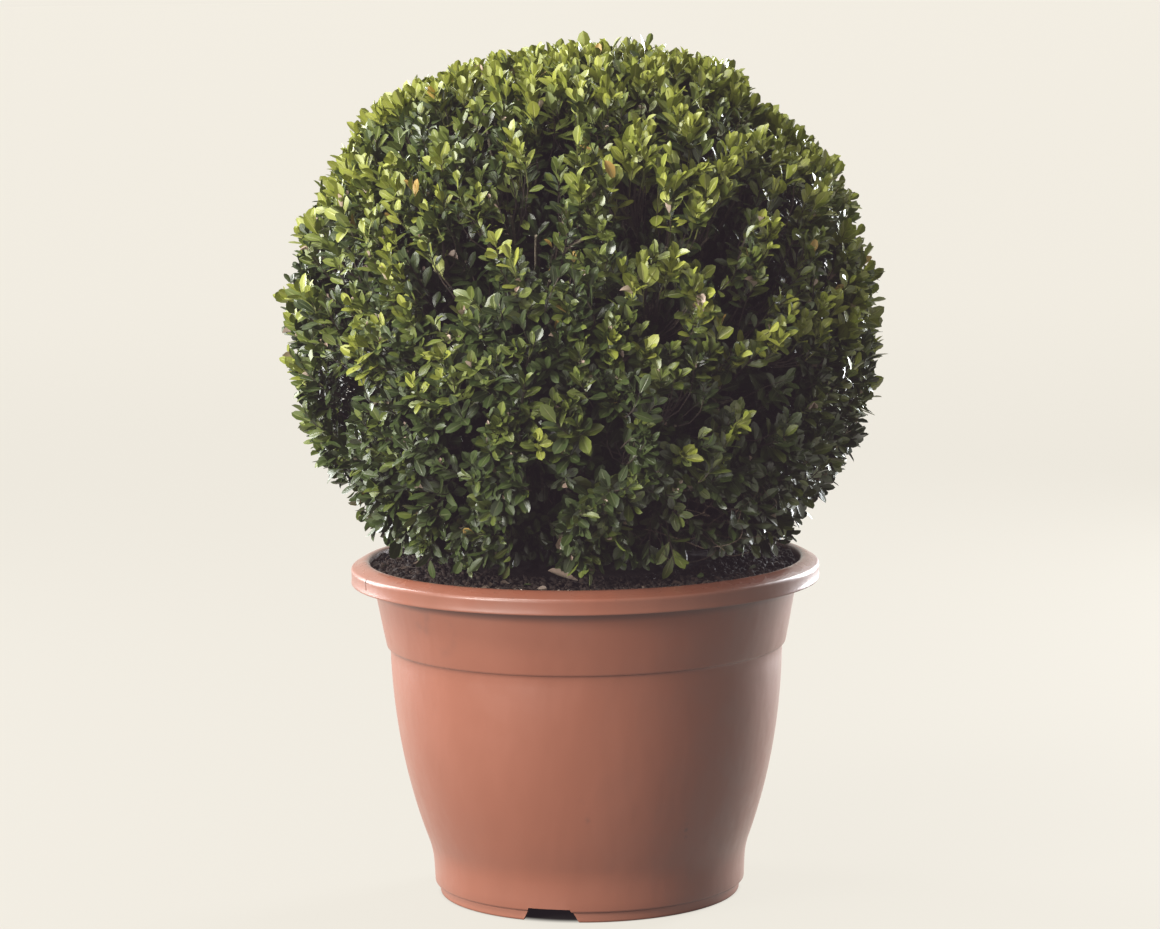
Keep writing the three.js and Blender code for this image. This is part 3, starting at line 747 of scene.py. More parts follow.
# %% Draw limbs and raise their bark
def drawn_limb(name, points, radii):
    """A round limb along a smooth curve through points, with a radius at each point."""
    deselect_all()
    bpy.ops.curve.primitive_nurbs_path_add()
    limb = bpy.context.object
    limb.name = name
    limb.data.splines.clear()
    spline = limb.data.splines.new("POLY")
    spline.points.add(len(points) - 1)
    for point, place, radius in zip(spline.points, points, radii):
        point.co = (*place, 1)
        point.radius = radius
    limb.data.bevel_depth = 1.0
    limb.data.bevel_resolution = 8
    limb.data.use_fill_caps = True
    bpy.ops.object.convert(target="MESH")
    limb = bpy.context.object
    bpy.ops.object.mode_set(mode="EDIT")
    bpy.ops.mesh.select_all(action="SELECT")
    bpy.ops.mesh.remove_doubles(threshold=1e-6)
    bpy.ops.mesh.normals_make_consistent(inside=False)
    bpy.ops.object.mode_set(mode="OBJECT")
    return limb


def smooth_path(corners, count):
    """Points of a smooth curve that passes three corners."""
    t = np.linspace(0, 1, count)[:, None]
    first, middle, last = map(np.array, corners)
    pull = 2 * middle - 0.5 * (first + last)
    return (1 - t) ** 2 * first + 2 * t * (1 - t) * pull + t**2 * last


def raise_bark(limb, depth, seed):
    """Pushes a limb's points in and out: long plates with cracks between them."""
    points = points_of(limb)
    normals = np.array([tuple(v.normal) for v in limb.data.vertices])
    long_way = points * np.array([1, 1, 0.28])
    plates = wander(long_way, 0.0055, seed) + 0.5 * wander(long_way, 0.0026, seed + 1)
    cracks = np.clip(1 - 7 * np.abs(plates / 1.5 - 0.5), 0, 1)
    flakes = wander(points, 0.0022, seed + 2)
    move_points(limb, points + normals * (depth * (0.5 * plates + 0.25 * flakes - 0.9 * cracks))[:, None])


bark, tree, shader, plates = mottled_finish(
    "box_bark", (0.125, 0.098, 0.068), (0.265, 0.225, 0.165), 130.0, 5.0, (1, 1, 0.3),
    Roughness=0.88, Specular_IOR_Level=0.25,
)
algae = add_group(tree, mottle_group, Scale=30.0, Detail=3.0)
algae_share = product(tree, algae.outputs["Mask"], 0.3)
with_algae = mix_colour(tree, algae_share, plates.outputs["Color"], (0.09, 0.10, 0.05, 1))
join(tree, with_algae, shader.inputs["Base Color"])
fissures = add_group(tree, mottle_group, Scale=520.0, Detail=4.0, Stretch=(1, 1, 0.25))
add_bump(tree, shader, fissures.outputs["Mask"], 0.0006)
print("bark:", len(tree.nodes), "nodes")

# %% [markdown]
# The trunk flares at its foot, where the roots leave it, and leans a little to its fork.

# %% Grow the trunk
FORK = np.array([0.005, -0.0025, trunk_high.z])
TRUNK_FOOT = np.array([0.0, 0.0, SOIL_TOP - 0.002])
TRUNK_STEPS = 44
TRUNK_RADIUS, TRUNK_TAPER, ROOT_FLARE = 0.017, 0.003, 0.012
trunk_path = smooth_path([TRUNK_FOOT, [0.0005, -0.0003, 0.330], FORK + [0, 0, 0.002]], TRUNK_STEPS)
up_trunk = np.linspace(0, 1, TRUNK_STEPS)
trunk_radii = TRUNK_RADIUS - TRUNK_TAPER * up_trunk + ROOT_FLARE * (1 - up_trunk) ** 4
trunk = drawn_limb("bark_trunk", trunk_path, trunk_radii)
raise_bark(trunk, 0.0012, 20)
settle(trunk, bark, "bark", "trunk", crisp=60)

# %% [markdown]
# Five boughs leave the fork, each leaning out to its own side, by the rule of the solids:
# one every seventy-two degrees, every other one standing a little closer in. Their tips are
# kept in a list, because the crown's limbs go on from there.

# %% Grow the boughs
BOUGH_STEPS = 40
BOUGH_SPREADS = [0.074, 0.060]  # how far out the tips are
HOLLOW_RADIUS, HOLLOW_HEIGHT, HOLLOW_FOOT = 0.096, 0.115, 0.318  # the dome in the solid ball
bough_tips, bough_headings = [], []
for i in range(5):
    bearing = (i + 0.3) * math.tau / 5
    out = np.array([math.cos(bearing), math.sin(bearing), 0.0])
    spread_out = BOUGH_SPREADS[i % 2]
    roof = HOLLOW_FOOT + HOLLOW_HEIGHT * math.sqrt(1 - (spread_out / HOLLOW_RADIUS) ** 2)
    tip = out * spread_out + [0, 0, roof + 0.016]
    start = FORK + 0.004 * out - [0, 0, 0.012]
    bough_path = smooth_path([start, (start + tip) / 2 + 0.005 * out, tip], BOUGH_STEPS)
    bough = drawn_limb(f"bark_bough_{i + 1}", bough_path, np.linspace(0.009, 0.005, BOUGH_STEPS))
    raise_bark(bough, 0.0008, 30 + 3 * i)
    settle(bough, bark, "bark", f"bough_{i + 1}", crisp=60)
    bough_tips.append(tip)
    bough_headings.append(unit(bough_path[-1] - bough_path[-4]))
bough_tips, bough_headings = np.array(bough_tips), np.array(bough_headings)

# %% [markdown]
# ## How the crown branches
#
# The solids have one rule: directions spread evenly over the ball by the golden angle, a
# leader to every third of them, and twigs that branch from the nearest leader. The same
# rule is carried further here. Five boughs divide into limbs, limbs into leaders, leaders
# into shoots, and each finds the nearest one of the order before it. A shoot starts inside
# and turns up to the light before it reaches the skin, as box shoots do.
#
# A clipped skin isn't even. Each leader carries its own tuft, and the tufts pull together a
# little, so dark seams open between them. Here and there a tuft is thin or was cut back
# hard, and one looks through the skin into the dark. Inside the skin there are still leaves,
# fewer and older, so nowhere can one see right through.

# %% Spread directions and bend paths
UP = np.array([0.0, 0.0, 1.0])
GOLDEN_ANGLE = math.pi * (3 - math.sqrt(5))


def golden_spread(count):
    """Directions spread evenly over a ball."""
    z = 1 - (2 * np.arange(count) + 1) / count
    radius = np.sqrt(1 - z * z)
    return around(radius, np.arange(count) * GOLDEN_ANGLE, z)


def ball_point(directions, share):
    """Points in the given directions from the ball's centre, at a share of its radius."""
    return BALL_CENTRE + directions * np.reshape(share, (-1, 1)) * BALL_RADIUS


def reach_of(points):
    """How far out points lie: 1 on the clipped outline."""
    return np.linalg.norm(points - BALL_CENTRE, axis=-1) / BALL_RADIUS


def bent_path(curve, shares):
    """Points at the same shares of many curves, each given by its start, pull and end."""
    t = np.asarray(shares)[..., None]
    start, pull, end = (part[:, None] for part in curve)
    return (1 - t) ** 2 * start + 2 * t * (1 - t) * pull + t**2 * end


def point_on(curve, share, owners):
    """One point of each owner's curve, at a share of its own."""
    return bent_path([part[owners] for part in curve], share[:, None])[:, 0]


def sideways(axes):
    """A level direction at right angles to each axis."""
    level = np.cross(axes, UP)
    level[np.linalg.norm(level, axis=-1) < 0.05] = (1, 0, 0)
    return unit(level)


def tubes(paths, radii, sides):
    """Points, wall quads and end caps of many tapered tubes, one along each path."""
    count, steps = paths.shape[:2]
    along = unit(np.gradient(paths, axis=1))
    side = unit(np.cross(along, sideways(paths[:, -1] - paths[:, 0])[:, None]))
    across = np.cross(along, side)
    angle = np.arange(sides) * math.tau / sides
    ring = side[:, :, None] * np.cos(angle)[:, None] + across[:, :, None] * np.sin(angle)[:, None]
    points = paths[:, :, None] + radii[:, :, None, None] * ring
    here = np.arange(sides)
    after = (here + 1) % sides
    quad = np.stack([here, after, after + sides, here + sides], -1)
    first = (np.arange(count)[:, None] * steps + np.arange(steps - 1)) * sides
    walls = (first[:, :, None, None] + quad).reshape(-1, 4)
    starts = np.arange(count)[:, None] * steps * sides
    caps = np.concatenate([starts + here[::-1], starts + (steps - 1) * sides + here])
    return points.reshape(-1, 3), walls, caps


def tube_piece(name, paths, radii, sides, finish, slot, node="foliage_ball", crisp=80):
    """One mesh of many tapered tubes, settled in the part."""
    points, walls, caps = tubes(paths, radii, sides)
    settle(array_piece(name, points, walls, caps), finish, slot, node, crisp=crisp)


print("directions in a golden spread of five:", golden_spread(5).round(2).tolist())

# %% [markdown]
# Each bough carries the limbs that head its way, and each limb the leaders that are nearest
# to it. A limb sets off along its bough's heading and then bends out. A leader branches
# somewhere along its limb and sags a little on its way to the skin.

# %% Grow limbs and leaders
seeds = np.random.default_rng(7)
LIMB_COUNT, LEADER_COUNT = 64, 430
LIMB_REACH, LEADER_REACH = 0.60, (0.77, 0.84)  # as shares of the ball's radius

limb_heads = golden_spread(LIMB_COUNT)
limb_heads = limb_heads[limb_heads[:, 2] > -0.72]
bough_bearing = unit(bough_tips * [1, 1, 0])
own_bough = np.argmax(limb_heads @ bough_bearing.T + 0.2 * seeds.random((len(limb_heads), 5)), axis=1)
limb_start = bough_tips[own_bough]
limb_end = ball_point(limb_heads, LIMB_REACH)
limb_length = np.linalg.norm(limb_end - limb_start, axis=-1, keepdims=True)
limb_pull = limb_start + bough_headings[own_bough] * 0.42 * limb_length
limb_curve = (limb_start, limb_pull, limb_end)
limb_paths = bent_path(limb_curve, np.linspace(0, 1, 9)[None])
limb_paths[:, 1:-1] += 0.004 * (seeds.random(limb_paths[:, 1:-1].shape) - 0.5)
limb_radii = np.linspace(0.0046, 0.0024, 9) * seeds.uniform(0.85, 1.1, (len(limb_paths), 1))

leader_heads = unit(golden_spread(LEADER_COUNT) + 0.045 * seeds.normal(size=(LEADER_COUNT, 3)))
leader_heads = leader_heads[ball_point(leader_heads, 1.0)[:, 2] > SOIL_TOP + 0.012]
own_limb = np.argmax(leader_heads @ limb_heads.T, axis=1)
lowered = unit(leader_heads - 0.16 * UP * (leader_heads[:, 2:] > -0.6))
leaves_limb_at = seeds.uniform(0.45, 1.0, len(leader_heads))
leader_start = point_on(limb_curve, leaves_limb_at, own_limb)
leader_end = ball_point(lowered, seeds.uniform(*LEADER_REACH, len(lowered)))
leader_pull = 0.5 * (leader_start + leader_end) + 0.012 * (leader_heads - 0.5 * UP)
leader_curve = (leader_start, leader_pull, leader_end)
leader_paths = bent_path(leader_curve, np.linspace(0, 1, 6)[None])
leader_radii = np.linspace(0.0024, 0.0013, 6) * seeds.uniform(0.85, 1.15, (len(leader_paths), 1))

tube_piece("crown_limbs", limb_paths, limb_radii, 8, bark, "bark", crisp=70)
tube_piece("crown_leaders", leader_paths, leader_radii, 6, bark, "bark", crisp=70)

# %% [markdown]
# ## The shoots
#
# Shoots are dealt evenly over the ball, each drawn a little towards its leader's head, so
# that the tufts pull together. About a quarter of them are short and stay well inside.

# %% Deal the shoots over the ball
SHOOTS_TRIED = 7300
INNER_SHARE = 0.26
TUFT_PULL = 0.18
heads = unit(golden_spread(SHOOTS_TRIED) + 0.022 * seeds.normal(size=(SHOOTS_TRIED, 3)))
own_leader = np.argmax(heads @ leader_heads.T, axis=1)
heads = unit(heads + TUFT_PULL * (leader_heads[own_leader] - heads))
on_skin = ball_point(heads, 1.0)
inner = seeds.random(SHOOTS_TRIED) < INNER_SHARE
print("shoots tried:", SHOOTS_TRIED)

# %% [markdown]
# The skin is thin in streaks that run up and down, where smooth random values are high, and
# the largest gaps on the front are named one by one. Most shoots there are left out, and
# those that stay are sunk. A worn place low on the right loses most of its shoots too. Under
# the ball, where nothing grows to full length, short shoots stop over the compost.

# %% Open the gaps
GAPS = np.array([  # on the front: across, height, radius
    (-0.050, 0.650, 0.026), (-0.020, 0.712, 0.018), (-0.130, 0.578, 0.020), (-0.103, 0.606, 0.018),
    (0.050, 0.645, 0.026), (0.126, 0.622, 0.022), (0.183, 0.587, 0.018), (0.070, 0.565, 0.018),
    (0.146, 0.553, 0.020), (0.188, 0.642, 0.014), (0.087, 0.465, 0.022), (0.147, 0.490, 0.017),
    (0.172, 0.494, 0.014), (0.155, 0.437, 0.016), (0.028, 0.427, 0.018), (-0.130, 0.387, 0.020),
    (-0.045, 0.343, 0.028), (-0.038, 0.411, 0.016), (0.060, 0.350, 0.020),
])


def gap_depth(points, scale):
    """How far inside the nearest gap points lie: 1 in its middle, 0 at its rim or outside."""
    across = points[:, None, 0] - GAPS[:, 0]
    height = 0.75 * (points[:, None, 2] - GAPS[:, 1])
    depth = 1 - np.hypot(across, height) / (scale * GAPS[:, 2])
    return np.where(points[:, 1] < 0, depth.max(axis=1), 0).clip(0, 1)


BARE_PATCH, BARE_REACH = np.array([0.13, -0.157, 0.352]), 0.062
SUNK_LOSS, WORN_LOSS, UNDER_SHARE = 0.65, 0.62, 0.60
streaky = on_skin * [1, 1, 0.5]
thinness = wander(streaky, 0.030, 71) + 0.55 * wander(streaky, 0.014, 72)
sunk = (thinness > 0.95) | (gap_depth(on_skin, 1.05) > 0)
worn = np.linalg.norm((on_skin - BARE_PATCH) * [1, 1, 1.2], axis=-1) < BARE_REACH
kept = ~(sunk & (seeds.random(SHOOTS_TRIED) < SUNK_LOSS))
kept &= ~(worn & (seeds.random(SHOOTS_TRIED) < WORN_LOSS))
kept &= gap_depth(on_skin, 0.9) < 0.1
above = on_skin[:, 2] > SOIL_TOP + 0.004
under = ~above & (seeds.random(SHOOTS_TRIED) < UNDER_SHARE)
inner |= under
kept = (above & kept) | (above & inner) | under
heads, own_leader, sunk, worn, inner, skin = (
    part[kept] for part in (heads, own_leader, sunk, worn, inner, on_skin)
)
shoot_count = len(heads)
print(f"shoots kept: {shoot_count}, {inner.sum()} of them inside and {worn.sum()} in the worn place")

# %% [markdown]
# New growth is bright yellow green, and there is most of it where there is most light: on
# the shoulders and top. Lower down and inside, the leaves are a year or two old, and dark.
# A few shoots are tinted yellow or bronze by cold or hunger. Each shoot is dealt one age,
# so the colours lie in sprays, as they grow, and each age is a material of its own.

# %% Deal out the ages
DEEP, MID, FRESH, TINTED, DRY = range(5)
MID_VIGOUR, FRESH_VIGOUR = 0.40, 0.675
light = 0.5 + 0.5 * heads[:, 2] + 0.16 * heads[:, 0] * (heads[:, 2] > -0.25)
light -= 0.44 * np.clip(-heads[:, 2] - 0.10, 0, 0.5)
vigour = 0.46 * light + 0.34 * (wander(skin, 0.045, 81) - 0.5) + 0.52 * seeds.random(shoot_count)
age = np.full(shoot_count, DEEP)
age[vigour > MID_VIGOUR] = MID
age[vigour > FRESH_VIGOUR] = FRESH
age[sunk & (seeds.random(shoot_count) < 0.8)] = DEEP
age[(seeds.random(shoot_count) < 0.0012) & (light > 0.62)] = TINTED
age[inner | worn] = DEEP
young = (age == FRESH) | (age == TINTED)
print("shoots of each age:", np.bincount(age, minlength=5))

# %% [markdown]
# Young shoots have grown since the last clipping and stand proud. Old ones were cut and lie
# deeper, each tuft has a depth of its own, and the inner and lowest shoots stop where the
# compost leaves them room. The outline isn't a true ball either: it wanders a little, the
# shears went flat over the top, and it has a few dips and shoulders.

# %% Say how far out each shoot reaches
TUFT_DIP, CREST_DROP = 0.030, 0.072
tuft_dip = TUFT_DIP * seeds.random(len(leader_heads))[own_leader]
share = 0.985 - tuft_dip - 0.050 * seeds.random(shoot_count) ** 1.5
share[young] = 1.004 - 0.5 * tuft_dip[young] - 0.022 * seeds.random(young.sum())
share[sunk] -= 0.10 + 0.12 * seeds.random(sunk.sum())
share[inner] = seeds.uniform(0.60, 0.80, inner.sum())
room_below = (BALL_CENTRE[2] - SOIL_TOP - 0.008) / (BALL_RADIUS * np.maximum(-heads[:, 2], 0.1))
share[inner] = np.minimum(share[inner], room_below[inner])
cramped = inner & (skin[:, 2] < SOIL_TOP + 0.030)
share[cramped] = (room_below * seeds.uniform(0.80, 1.0, shoot_count))[cramped].clip(max=0.93)
share *= 1 + 0.024 * (wander(skin, 0.085, 61) - 0.5)
crest = np.clip((heads[:, 2] - 0.68) / 0.32, 0, 1)
share *= 1 - CREST_DROP * crest * crest * (3 - 2 * crest)
DIPS_AND_SHOULDERS = [  # direction from the ball's centre, width, depth
    ((0.72, -0.05, 0.69), 0.26, 0.075),
    ((-0.85, -0.05, 0.53), 0.20, 0.045),
    ((0.50, -0.05, 0.86), 0.22, -0.035),
    ((1.0, 0.0, 0.0), 0.16, 0.030),
]
for heading, width, depth in DIPS_AND_SHOULDERS:
    share -= depth * np.clip(1 - np.linalg.norm((heads - heading) * [1, 0.5, 1], axis=-1) / width, 0, 1)
print("reach of the shoots, as shares of the ball:", share.min().round(3), "to", share.max().round(3))

# %% [markdown]
# A shoot is a thin stem that ends just under the clipped outline. Its direction mixes three
# things: straight out of the ball, up to the light, and chance. Under the ball's foot there
# is little light, and shoots there hang out over the compost instead. A few sprigs that
# stand or hang proud are named, and the nearest shoot becomes each of them.

# %% Grow the shoots
OUTWARD, UPWARD, DOWNWARD, CHANCE = 0.62, 0.62, -0.15, 0.24  # what a shoot's direction is mixed of
lift = np.clip(UPWARD * (heads[:, 2] + 0.78) / 0.5, DOWNWARD, UPWARD)
axis = unit(OUTWARD * heads + lift[:, None] * UP + CHANCE * seeds.normal(size=(shoot_count, 3)))
tip_gap = 0.010 * np.clip((axis * heads).sum(-1), 0.2, 1)
shoot_tip = ball_point(heads, share) - heads * tip_gap[:, None]

PROUD_SPRIGS = [  # where the tip stands, the way it leans, and its age
    ((0.062, -0.050, 0.775), (0.30, -0.20, 1.0), MID),
    ((-0.231, -0.030, 0.651), (-0.35, -0.20, 1.0), MID),
    ((0.222, -0.080, 0.402), (0.80, -0.40, -0.7), MID),
    ((0.024, -0.197, 0.356), (0.10, -0.45, -1.0), MID),
    ((-0.186, -0.080, 0.352), (-0.60, -0.30, -0.9), DEEP),
    ((0.184, -0.040, 0.334), (0.80, -0.40, 0.1), DEEP),
    ((0.176, -0.070, 0.330), (0.60, -0.70, 0.0), DEEP),
    ((0.190, -0.020, 0.346), (0.90, -0.20, -0.2), DEEP),
    ((-0.109, -0.157, 0.323), (-0.25, -0.45, -1.0), DEEP),
    ((-0.066, -0.176, 0.328), (-0.10, -0.40, -1.0), MID),
    ((0.078, -0.172, 0.327), (0.20, -0.40, -1.0), MID),
    ((-0.172, -0.078, 0.327), (-0.50, -0.35, -0.9), DEEP),
    ((-0.160, -0.100, 0.325), (-0.40, -0.45, -1.0), MID),
    ((-0.139, -0.126, 0.321), (-0.30, -0.45, -1.0), DEEP),
    ((-0.148, -0.108, 0.334), (-0.40, -0.45, -0.9), DEEP),
]
for place, lean, kind in PROUD_SPRIGS:
    near = np.argmin(np.linalg.norm(shoot_tip - place, axis=-1))
    shoot_tip[near] = place
    axis[near] = unit(np.array(lean))
    age[near] = kind
CLEAR_STEM = 0.040  # the last stretch of a shoot, which runs straight and carries the leaves
shoot_pull = shoot_tip - axis * CLEAR_STEM
leaves_leader_at = seeds.uniform(0.35, 1.0, shoot_count) * np.where(inner, 0.5, 1.0)
shoot_start = point_on(leader_curve, leaves_leader_at, own_leader)
shoot_curve = (shoot_start, shoot_pull, shoot_tip)
shoot_paths = bent_path(shoot_curve, np.array([0, 0.3, 0.6, 0.8, 1.0])[None])
shoot_radii = np.array([1.0, 0.9, 0.8, 0.7, 0.5]) * seeds.uniform(0.00055, 0.00085, (shoot_count, 1))
print("shoots:", shoot_count)

# %% [markdown]
# ## The leaves
#
# Box leaves sit in opposite pairs, each pair a quarter turn on from the last. A leaf is an
# oval about eighteen millimetres long and half as wide, widest past its middle, with a
# blunt tip, a fold along the midrib and a slight roll. Eight faces are enough to say all
# that. There are some sixty thousand, so they are worked out as arrays: one template, and
# for each leaf its foot, its heading, the way it faces, its size, fold and roll.

# %% Shape one leaf
LEAF_ROWS = np.array([0.28, 0.60, 0.87])  # along the leaf, from its foot
LEAF_HALVES = np.array([0.33, 0.50, 0.32])  # half width at those rows, as a share of the width
# corners: 0 foot, 1-3 left edge, 4-6 midrib, 7-9 right edge, 10 tip
LEAF_ACROSS = np.concatenate([[0], -LEAF_HALVES, [0, 0, 0], LEAF_HALVES, [0]])
LEAF_ALONG = np.concatenate([[0], LEAF_ROWS, LEAF_ROWS, LEAF_ROWS, [1]])
LEAF_TRIANGLES = np.array([[0, 4, 1], [0, 7, 4], [3, 6, 10], [6, 9, 10]])
LEAF_QUADS = np.array([[1, 4, 5, 2], [2, 5, 6, 3], [4, 7, 8, 5], [5, 8, 9, 6]])
LEAF_CORNERS = len(LEAF_ACROSS)


def place_leaves(foot, heading, face, length, width, fold, roll):
    """Corner points of many leaves."""
    heading = unit(heading)
    face = unit(face - (face * heading).sum(-1, keepdims=True) * heading)
    side = np.cross(heading, face)
    across = LEAF_ACROSS * width[:, None]
    along = LEAF_ALONG * length[:, None]
    rise = np.abs(across) * fold[:, None] + LEAF_ALONG**2 * (roll * length)[:, None]
    return (
        foot[:, None]
        + side[:, None] * across[..., None]
        + heading[:, None] * along[..., None]
        + face[:, None] * rise[..., None]
    )


print("faces of a leaf:", len(LEAF_TRIANGLES) + len(LEAF_QUADS))

# %% [markdown]
# A shoot's size and tone are its own, and its leaves keep near to them. Leaves differ most
# in tone at the top, where new growth stands among old, and least low down: there the deep
# leaves are paled, painted light on the ball's shaded underside, and the others are darkened.

# %% Size and tone the shoots' leaves
PAIRS = 6
spacing = seeds.uniform(0.0060, 0.0088, shoot_count)  # from one pair to the next
pair_count = seeds.integers(4, PAIRS + 1, shoot_count)
pair_count[worn] = 2
first_turn = seeds.uniform(0, math.pi, shoot_count)
low = skin[:, 2] < SOIL_TOP + 0.075
AGE_SIZE = np.array([0.92, 0.96, 1.05, 1.0, 0.8])
shoot_size = AGE_SIZE[age] * seeds.uniform(0.74, 1.20, shoot_count) * np.where(low, 1.10, 1.0)
shoot_size *= 0.84 + 0.32 * wander(skin, 0.090, 91)
shoot_tone = seeds.random(shoot_count)
lower = np.clip(0.1 - 1.4 * heads[:, 2], 0, 1)
# Painted light: low down the deep leaves are paled against the shade under the ball.
deep_tone_painted_light = 1 - (1 - shoot_tone) * (1 - 0.5 * lower)
shoot_tone = np.where(age == DEEP, deep_tone_painted_light, shoot_tone * (1 - 0.6 * lower))
print("leaf pairs:", pair_count.sum())

# %% [markdown]
# The pairs are set from the tip down. The youngest pair is small and nearly closed round the
# bud, and each pair further back stands wider open. Leaves turn their faces up to the light,
# and the older pairs of a young shoot are already darker. The shears have cut through some
# of the outer leaves, which then dry at the edge.

# %% Set the leaves on the shoots
LEAF_LENGTH = 0.0183
FIRST_PAIR = 0.0012  # how far behind the tip the first pair stands
OPENING = np.radians([26, 38, 50, 60, 67, 74])
PAIR_SIZE = [0.74, 0.92, 1.0, 1.0, 1.0, 0.95]
STALK = 0.0006
CUT_SHARE, CUT_LENGTH, DRY_SHARE = 0.055, 0.50, 0.006
DRY_LENGTH, DRY_FOLD, DRY_ROLL = 0.72, 0.9, 0.6
batches = []
for pair in range(PAIRS):
    has = pair_count > pair
    number = has.sum()
    at = 1 - (FIRST_PAIR + spacing[has] * pair) / (2 * CLEAR_STEM)
    stem_point = point_on(shoot_curve, at, has)
    back, forward = shoot_pull[has] - shoot_start[has], shoot_tip[has] - shoot_pull[has]
    stem_axis = unit((1 - at)[:, None] * back + at[:, None] * forward)
    first_side = sideways(stem_axis)
    second_side = np.cross(stem_axis, first_side)
    for half in range(2):
        turn = first_turn[has] + pair * math.pi / 2 + half * math.pi + 0.18 * seeds.normal(size=number)
        opening = OPENING[pair] - 0.10 * young[has] + 0.20 * seeds.normal(size=number)
        outward = first_side * np.cos(turn)[:, None] + second_side * np.sin(turn)[:, None]
        heading = stem_axis * np.cos(opening)[:, None] + outward * np.sin(opening)[:, None]
        face = stem_axis * np.sin(opening)[:, None] - outward * np.cos(opening)[:, None]
        to_light = 0.55 * UP + 0.45 * heads[has]
        face = face + 0.38 * to_light + 0.24 * seeds.normal(size=(number, 3))
        chance = seeds.random(number)
        ages = age[has].copy()
        if pair >= 3:
            ages[(ages == FRESH) & (chance < 0.75)] = MID
            ages[(ages == MID) & (chance < 0.45)] = DEEP
        elif pair == 2:
            ages[(ages == FRESH) & (chance < 0.35)] = MID
            ages[(ages == MID) & (chance > 0.70)] = DEEP
        cut = (seeds.random(number) < CUT_SHARE) & (pair < 2) & ~young[has] & ~inner[has]
        ages[cut | (seeds.random(number) < DRY_SHARE)] = DRY
        tinted_share = 0.003 + 0.007 * (heads[has, 2] > 0.25)
        ages[(seeds.random(number) < tinted_share) & (pair < 2) & ~inner[has]] = TINTED
        full_length = LEAF_LENGTH * shoot_size[has] * PAIR_SIZE[pair] * seeds.uniform(0.85, 1.15, number)
        length = full_length * np.where(cut, CUT_LENGTH, 1.0)
        tone = 0.6 * shoot_tone[has] + 0.4 * seeds.random(number)
        fold = seeds.uniform(0.05, 0.40, number) + 0.25 * (pair == 0)
        roll = seeds.uniform(-0.22, 0.06, number)
        batches.append((stem_point + outward * STALK, heading, face, length, ages, tone, fold, roll))

feet, headings, faces_to, lengths, leaf_ages, leaf_tones, leaf_fold, leaf_roll = (
    np.concatenate(values) for values in zip(*batches)
)
leaf_width = lengths * (seeds.uniform(0.43, 0.55, len(lengths)) + 0.04 * (leaf_ages == FRESH))
dry = leaf_ages == DRY
lengths[dry] *= DRY_LENGTH
leaf_fold[dry] += DRY_FOLD
leaf_roll[dry] += seeds.uniform(-DRY_ROLL, DRY_ROLL, dry.sum())
print("leaves set:", len(feet))

# %% [markdown]
# A leaf is left out where it would stand too far out of the outline, lie in the compost,
# touch the rim or close a gap.

# %% Keep the leaves that have room
LEAF_PROUD = 0.005 / BALL_RADIUS
corners = place_leaves(feet, headings, faces_to, lengths, leaf_width, leaf_fold, leaf_roll)
tips = corners[:, -1]
flat = np.linalg.norm(corners[..., :2], axis=-1)
clear_of_soil = (corners[..., 2] > soil_height(flat) + 0.002).all(axis=1)
over_rim = (flat > RIM_RADIUS - 0.022) & (corners[..., 2] < POT_HEIGHT + 0.003)
over_gap = (gap_depth(tips, 0.8) > 0) & (reach_of(tips) > 0.84)
stays = (reach_of(tips) < 1 + LEAF_PROUD) & clear_of_soil & ~over_rim.any(axis=1) & ~over_gap
corners, leaf_ages, leaf_tones = corners[stays], leaf_ages[stays], leaf_tones[stays]
print("leaves kept:", len(corners))

# %% [markdown]
# ## The finish of a leaf
#
# A box leaf is waxy, so it shines, and its midrib is paler than its blade. No two leaves
# have one green. Each leaf carries a tone, a number of its own between 0 and 1, and a flat
# map from foot to tip; the leaf group turns them into a colour between two greens, with
# the pale rib, and a slightly raised rib for the bump.

# %% Make the leaf group and its materials
leaf_group, given, result = new_group(
    "leaf_blade",
    {
        "First Color": (0.02, 0.05, 0.02, 1),
        "Second Color": (0.04, 0.08, 0.02, 1),
        "Rib Color": (0.15, 0.20, 0.06, 1),
        "Rib Share": 0.5,
        "Wax": 0.34,
    },
    ["Color", "Roughness", "Height"],
)
tone = new_node(leaf_group, "Attribute", attribute_name="tone").outputs["Fac"]
leaf_map = new_node(leaf_group, "UVMap", uv_map="leaf_map").outputs[0]
parts = new_node(leaf_group, "SeparateXYZ", leaf_map).outputs
off_rib = math_node(leaf_group, "ABSOLUTE", math_node(leaf_group, "SUBTRACT", parts["X"], 0.5))
rib = ramp_value(leaf_group, off_rib, 0.075, 0.02)
rib = product(leaf_group, rib, ramp_value(leaf_group, parts["Y"], 1.0, 0.6))
blotch = noise_at(leaf_group, new_node(leaf_group, "TexCoord").outputs["Object"], Scale=260.0)
blotch = product(leaf_group, math_node(leaf_group, "SUBTRACT", blotch, 0.5), 0.5)
share = math_node(leaf_group, "ADD", tone, blotch, clamp=True)
blade = mix_colour(leaf_group, share, given["First Color"], given["Second Color"])
rib_share = product(leaf_group, rib, given["Rib Share"])
join(leaf_group, mix_colour(leaf_group, rib_share, blade, given["Rib Color"]), result["Color"])
wax = math_node(leaf_group, "ADD", given["Wax"], product(leaf_group, tone, 0.10))
join(leaf_group, wax, result["Roughness"])
join(leaf_group, rib, result["Height"])


def leaf_finish(name, first, second, rib, wax, rib_share=0.6, **settings):
    """A finish on the leaf group, its tree, its shader and its group node."""
    finish, tree, shader = new_finish(name, **settings)
    colours = {"First_Color": (*first, 1), "Second_Color": (*second, 1), "Rib_Color": (*rib, 1)}
    blade = add_group(tree, leaf_group, **colours, Rib_Share=rib_share, Wax=wax)
    join(tree, blade.outputs["Color"], shader.inputs["Base Color"])
    join(tree, blade.outputs["Roughness"], shader.inputs["Roughness"])
    return finish, tree, shader, blade


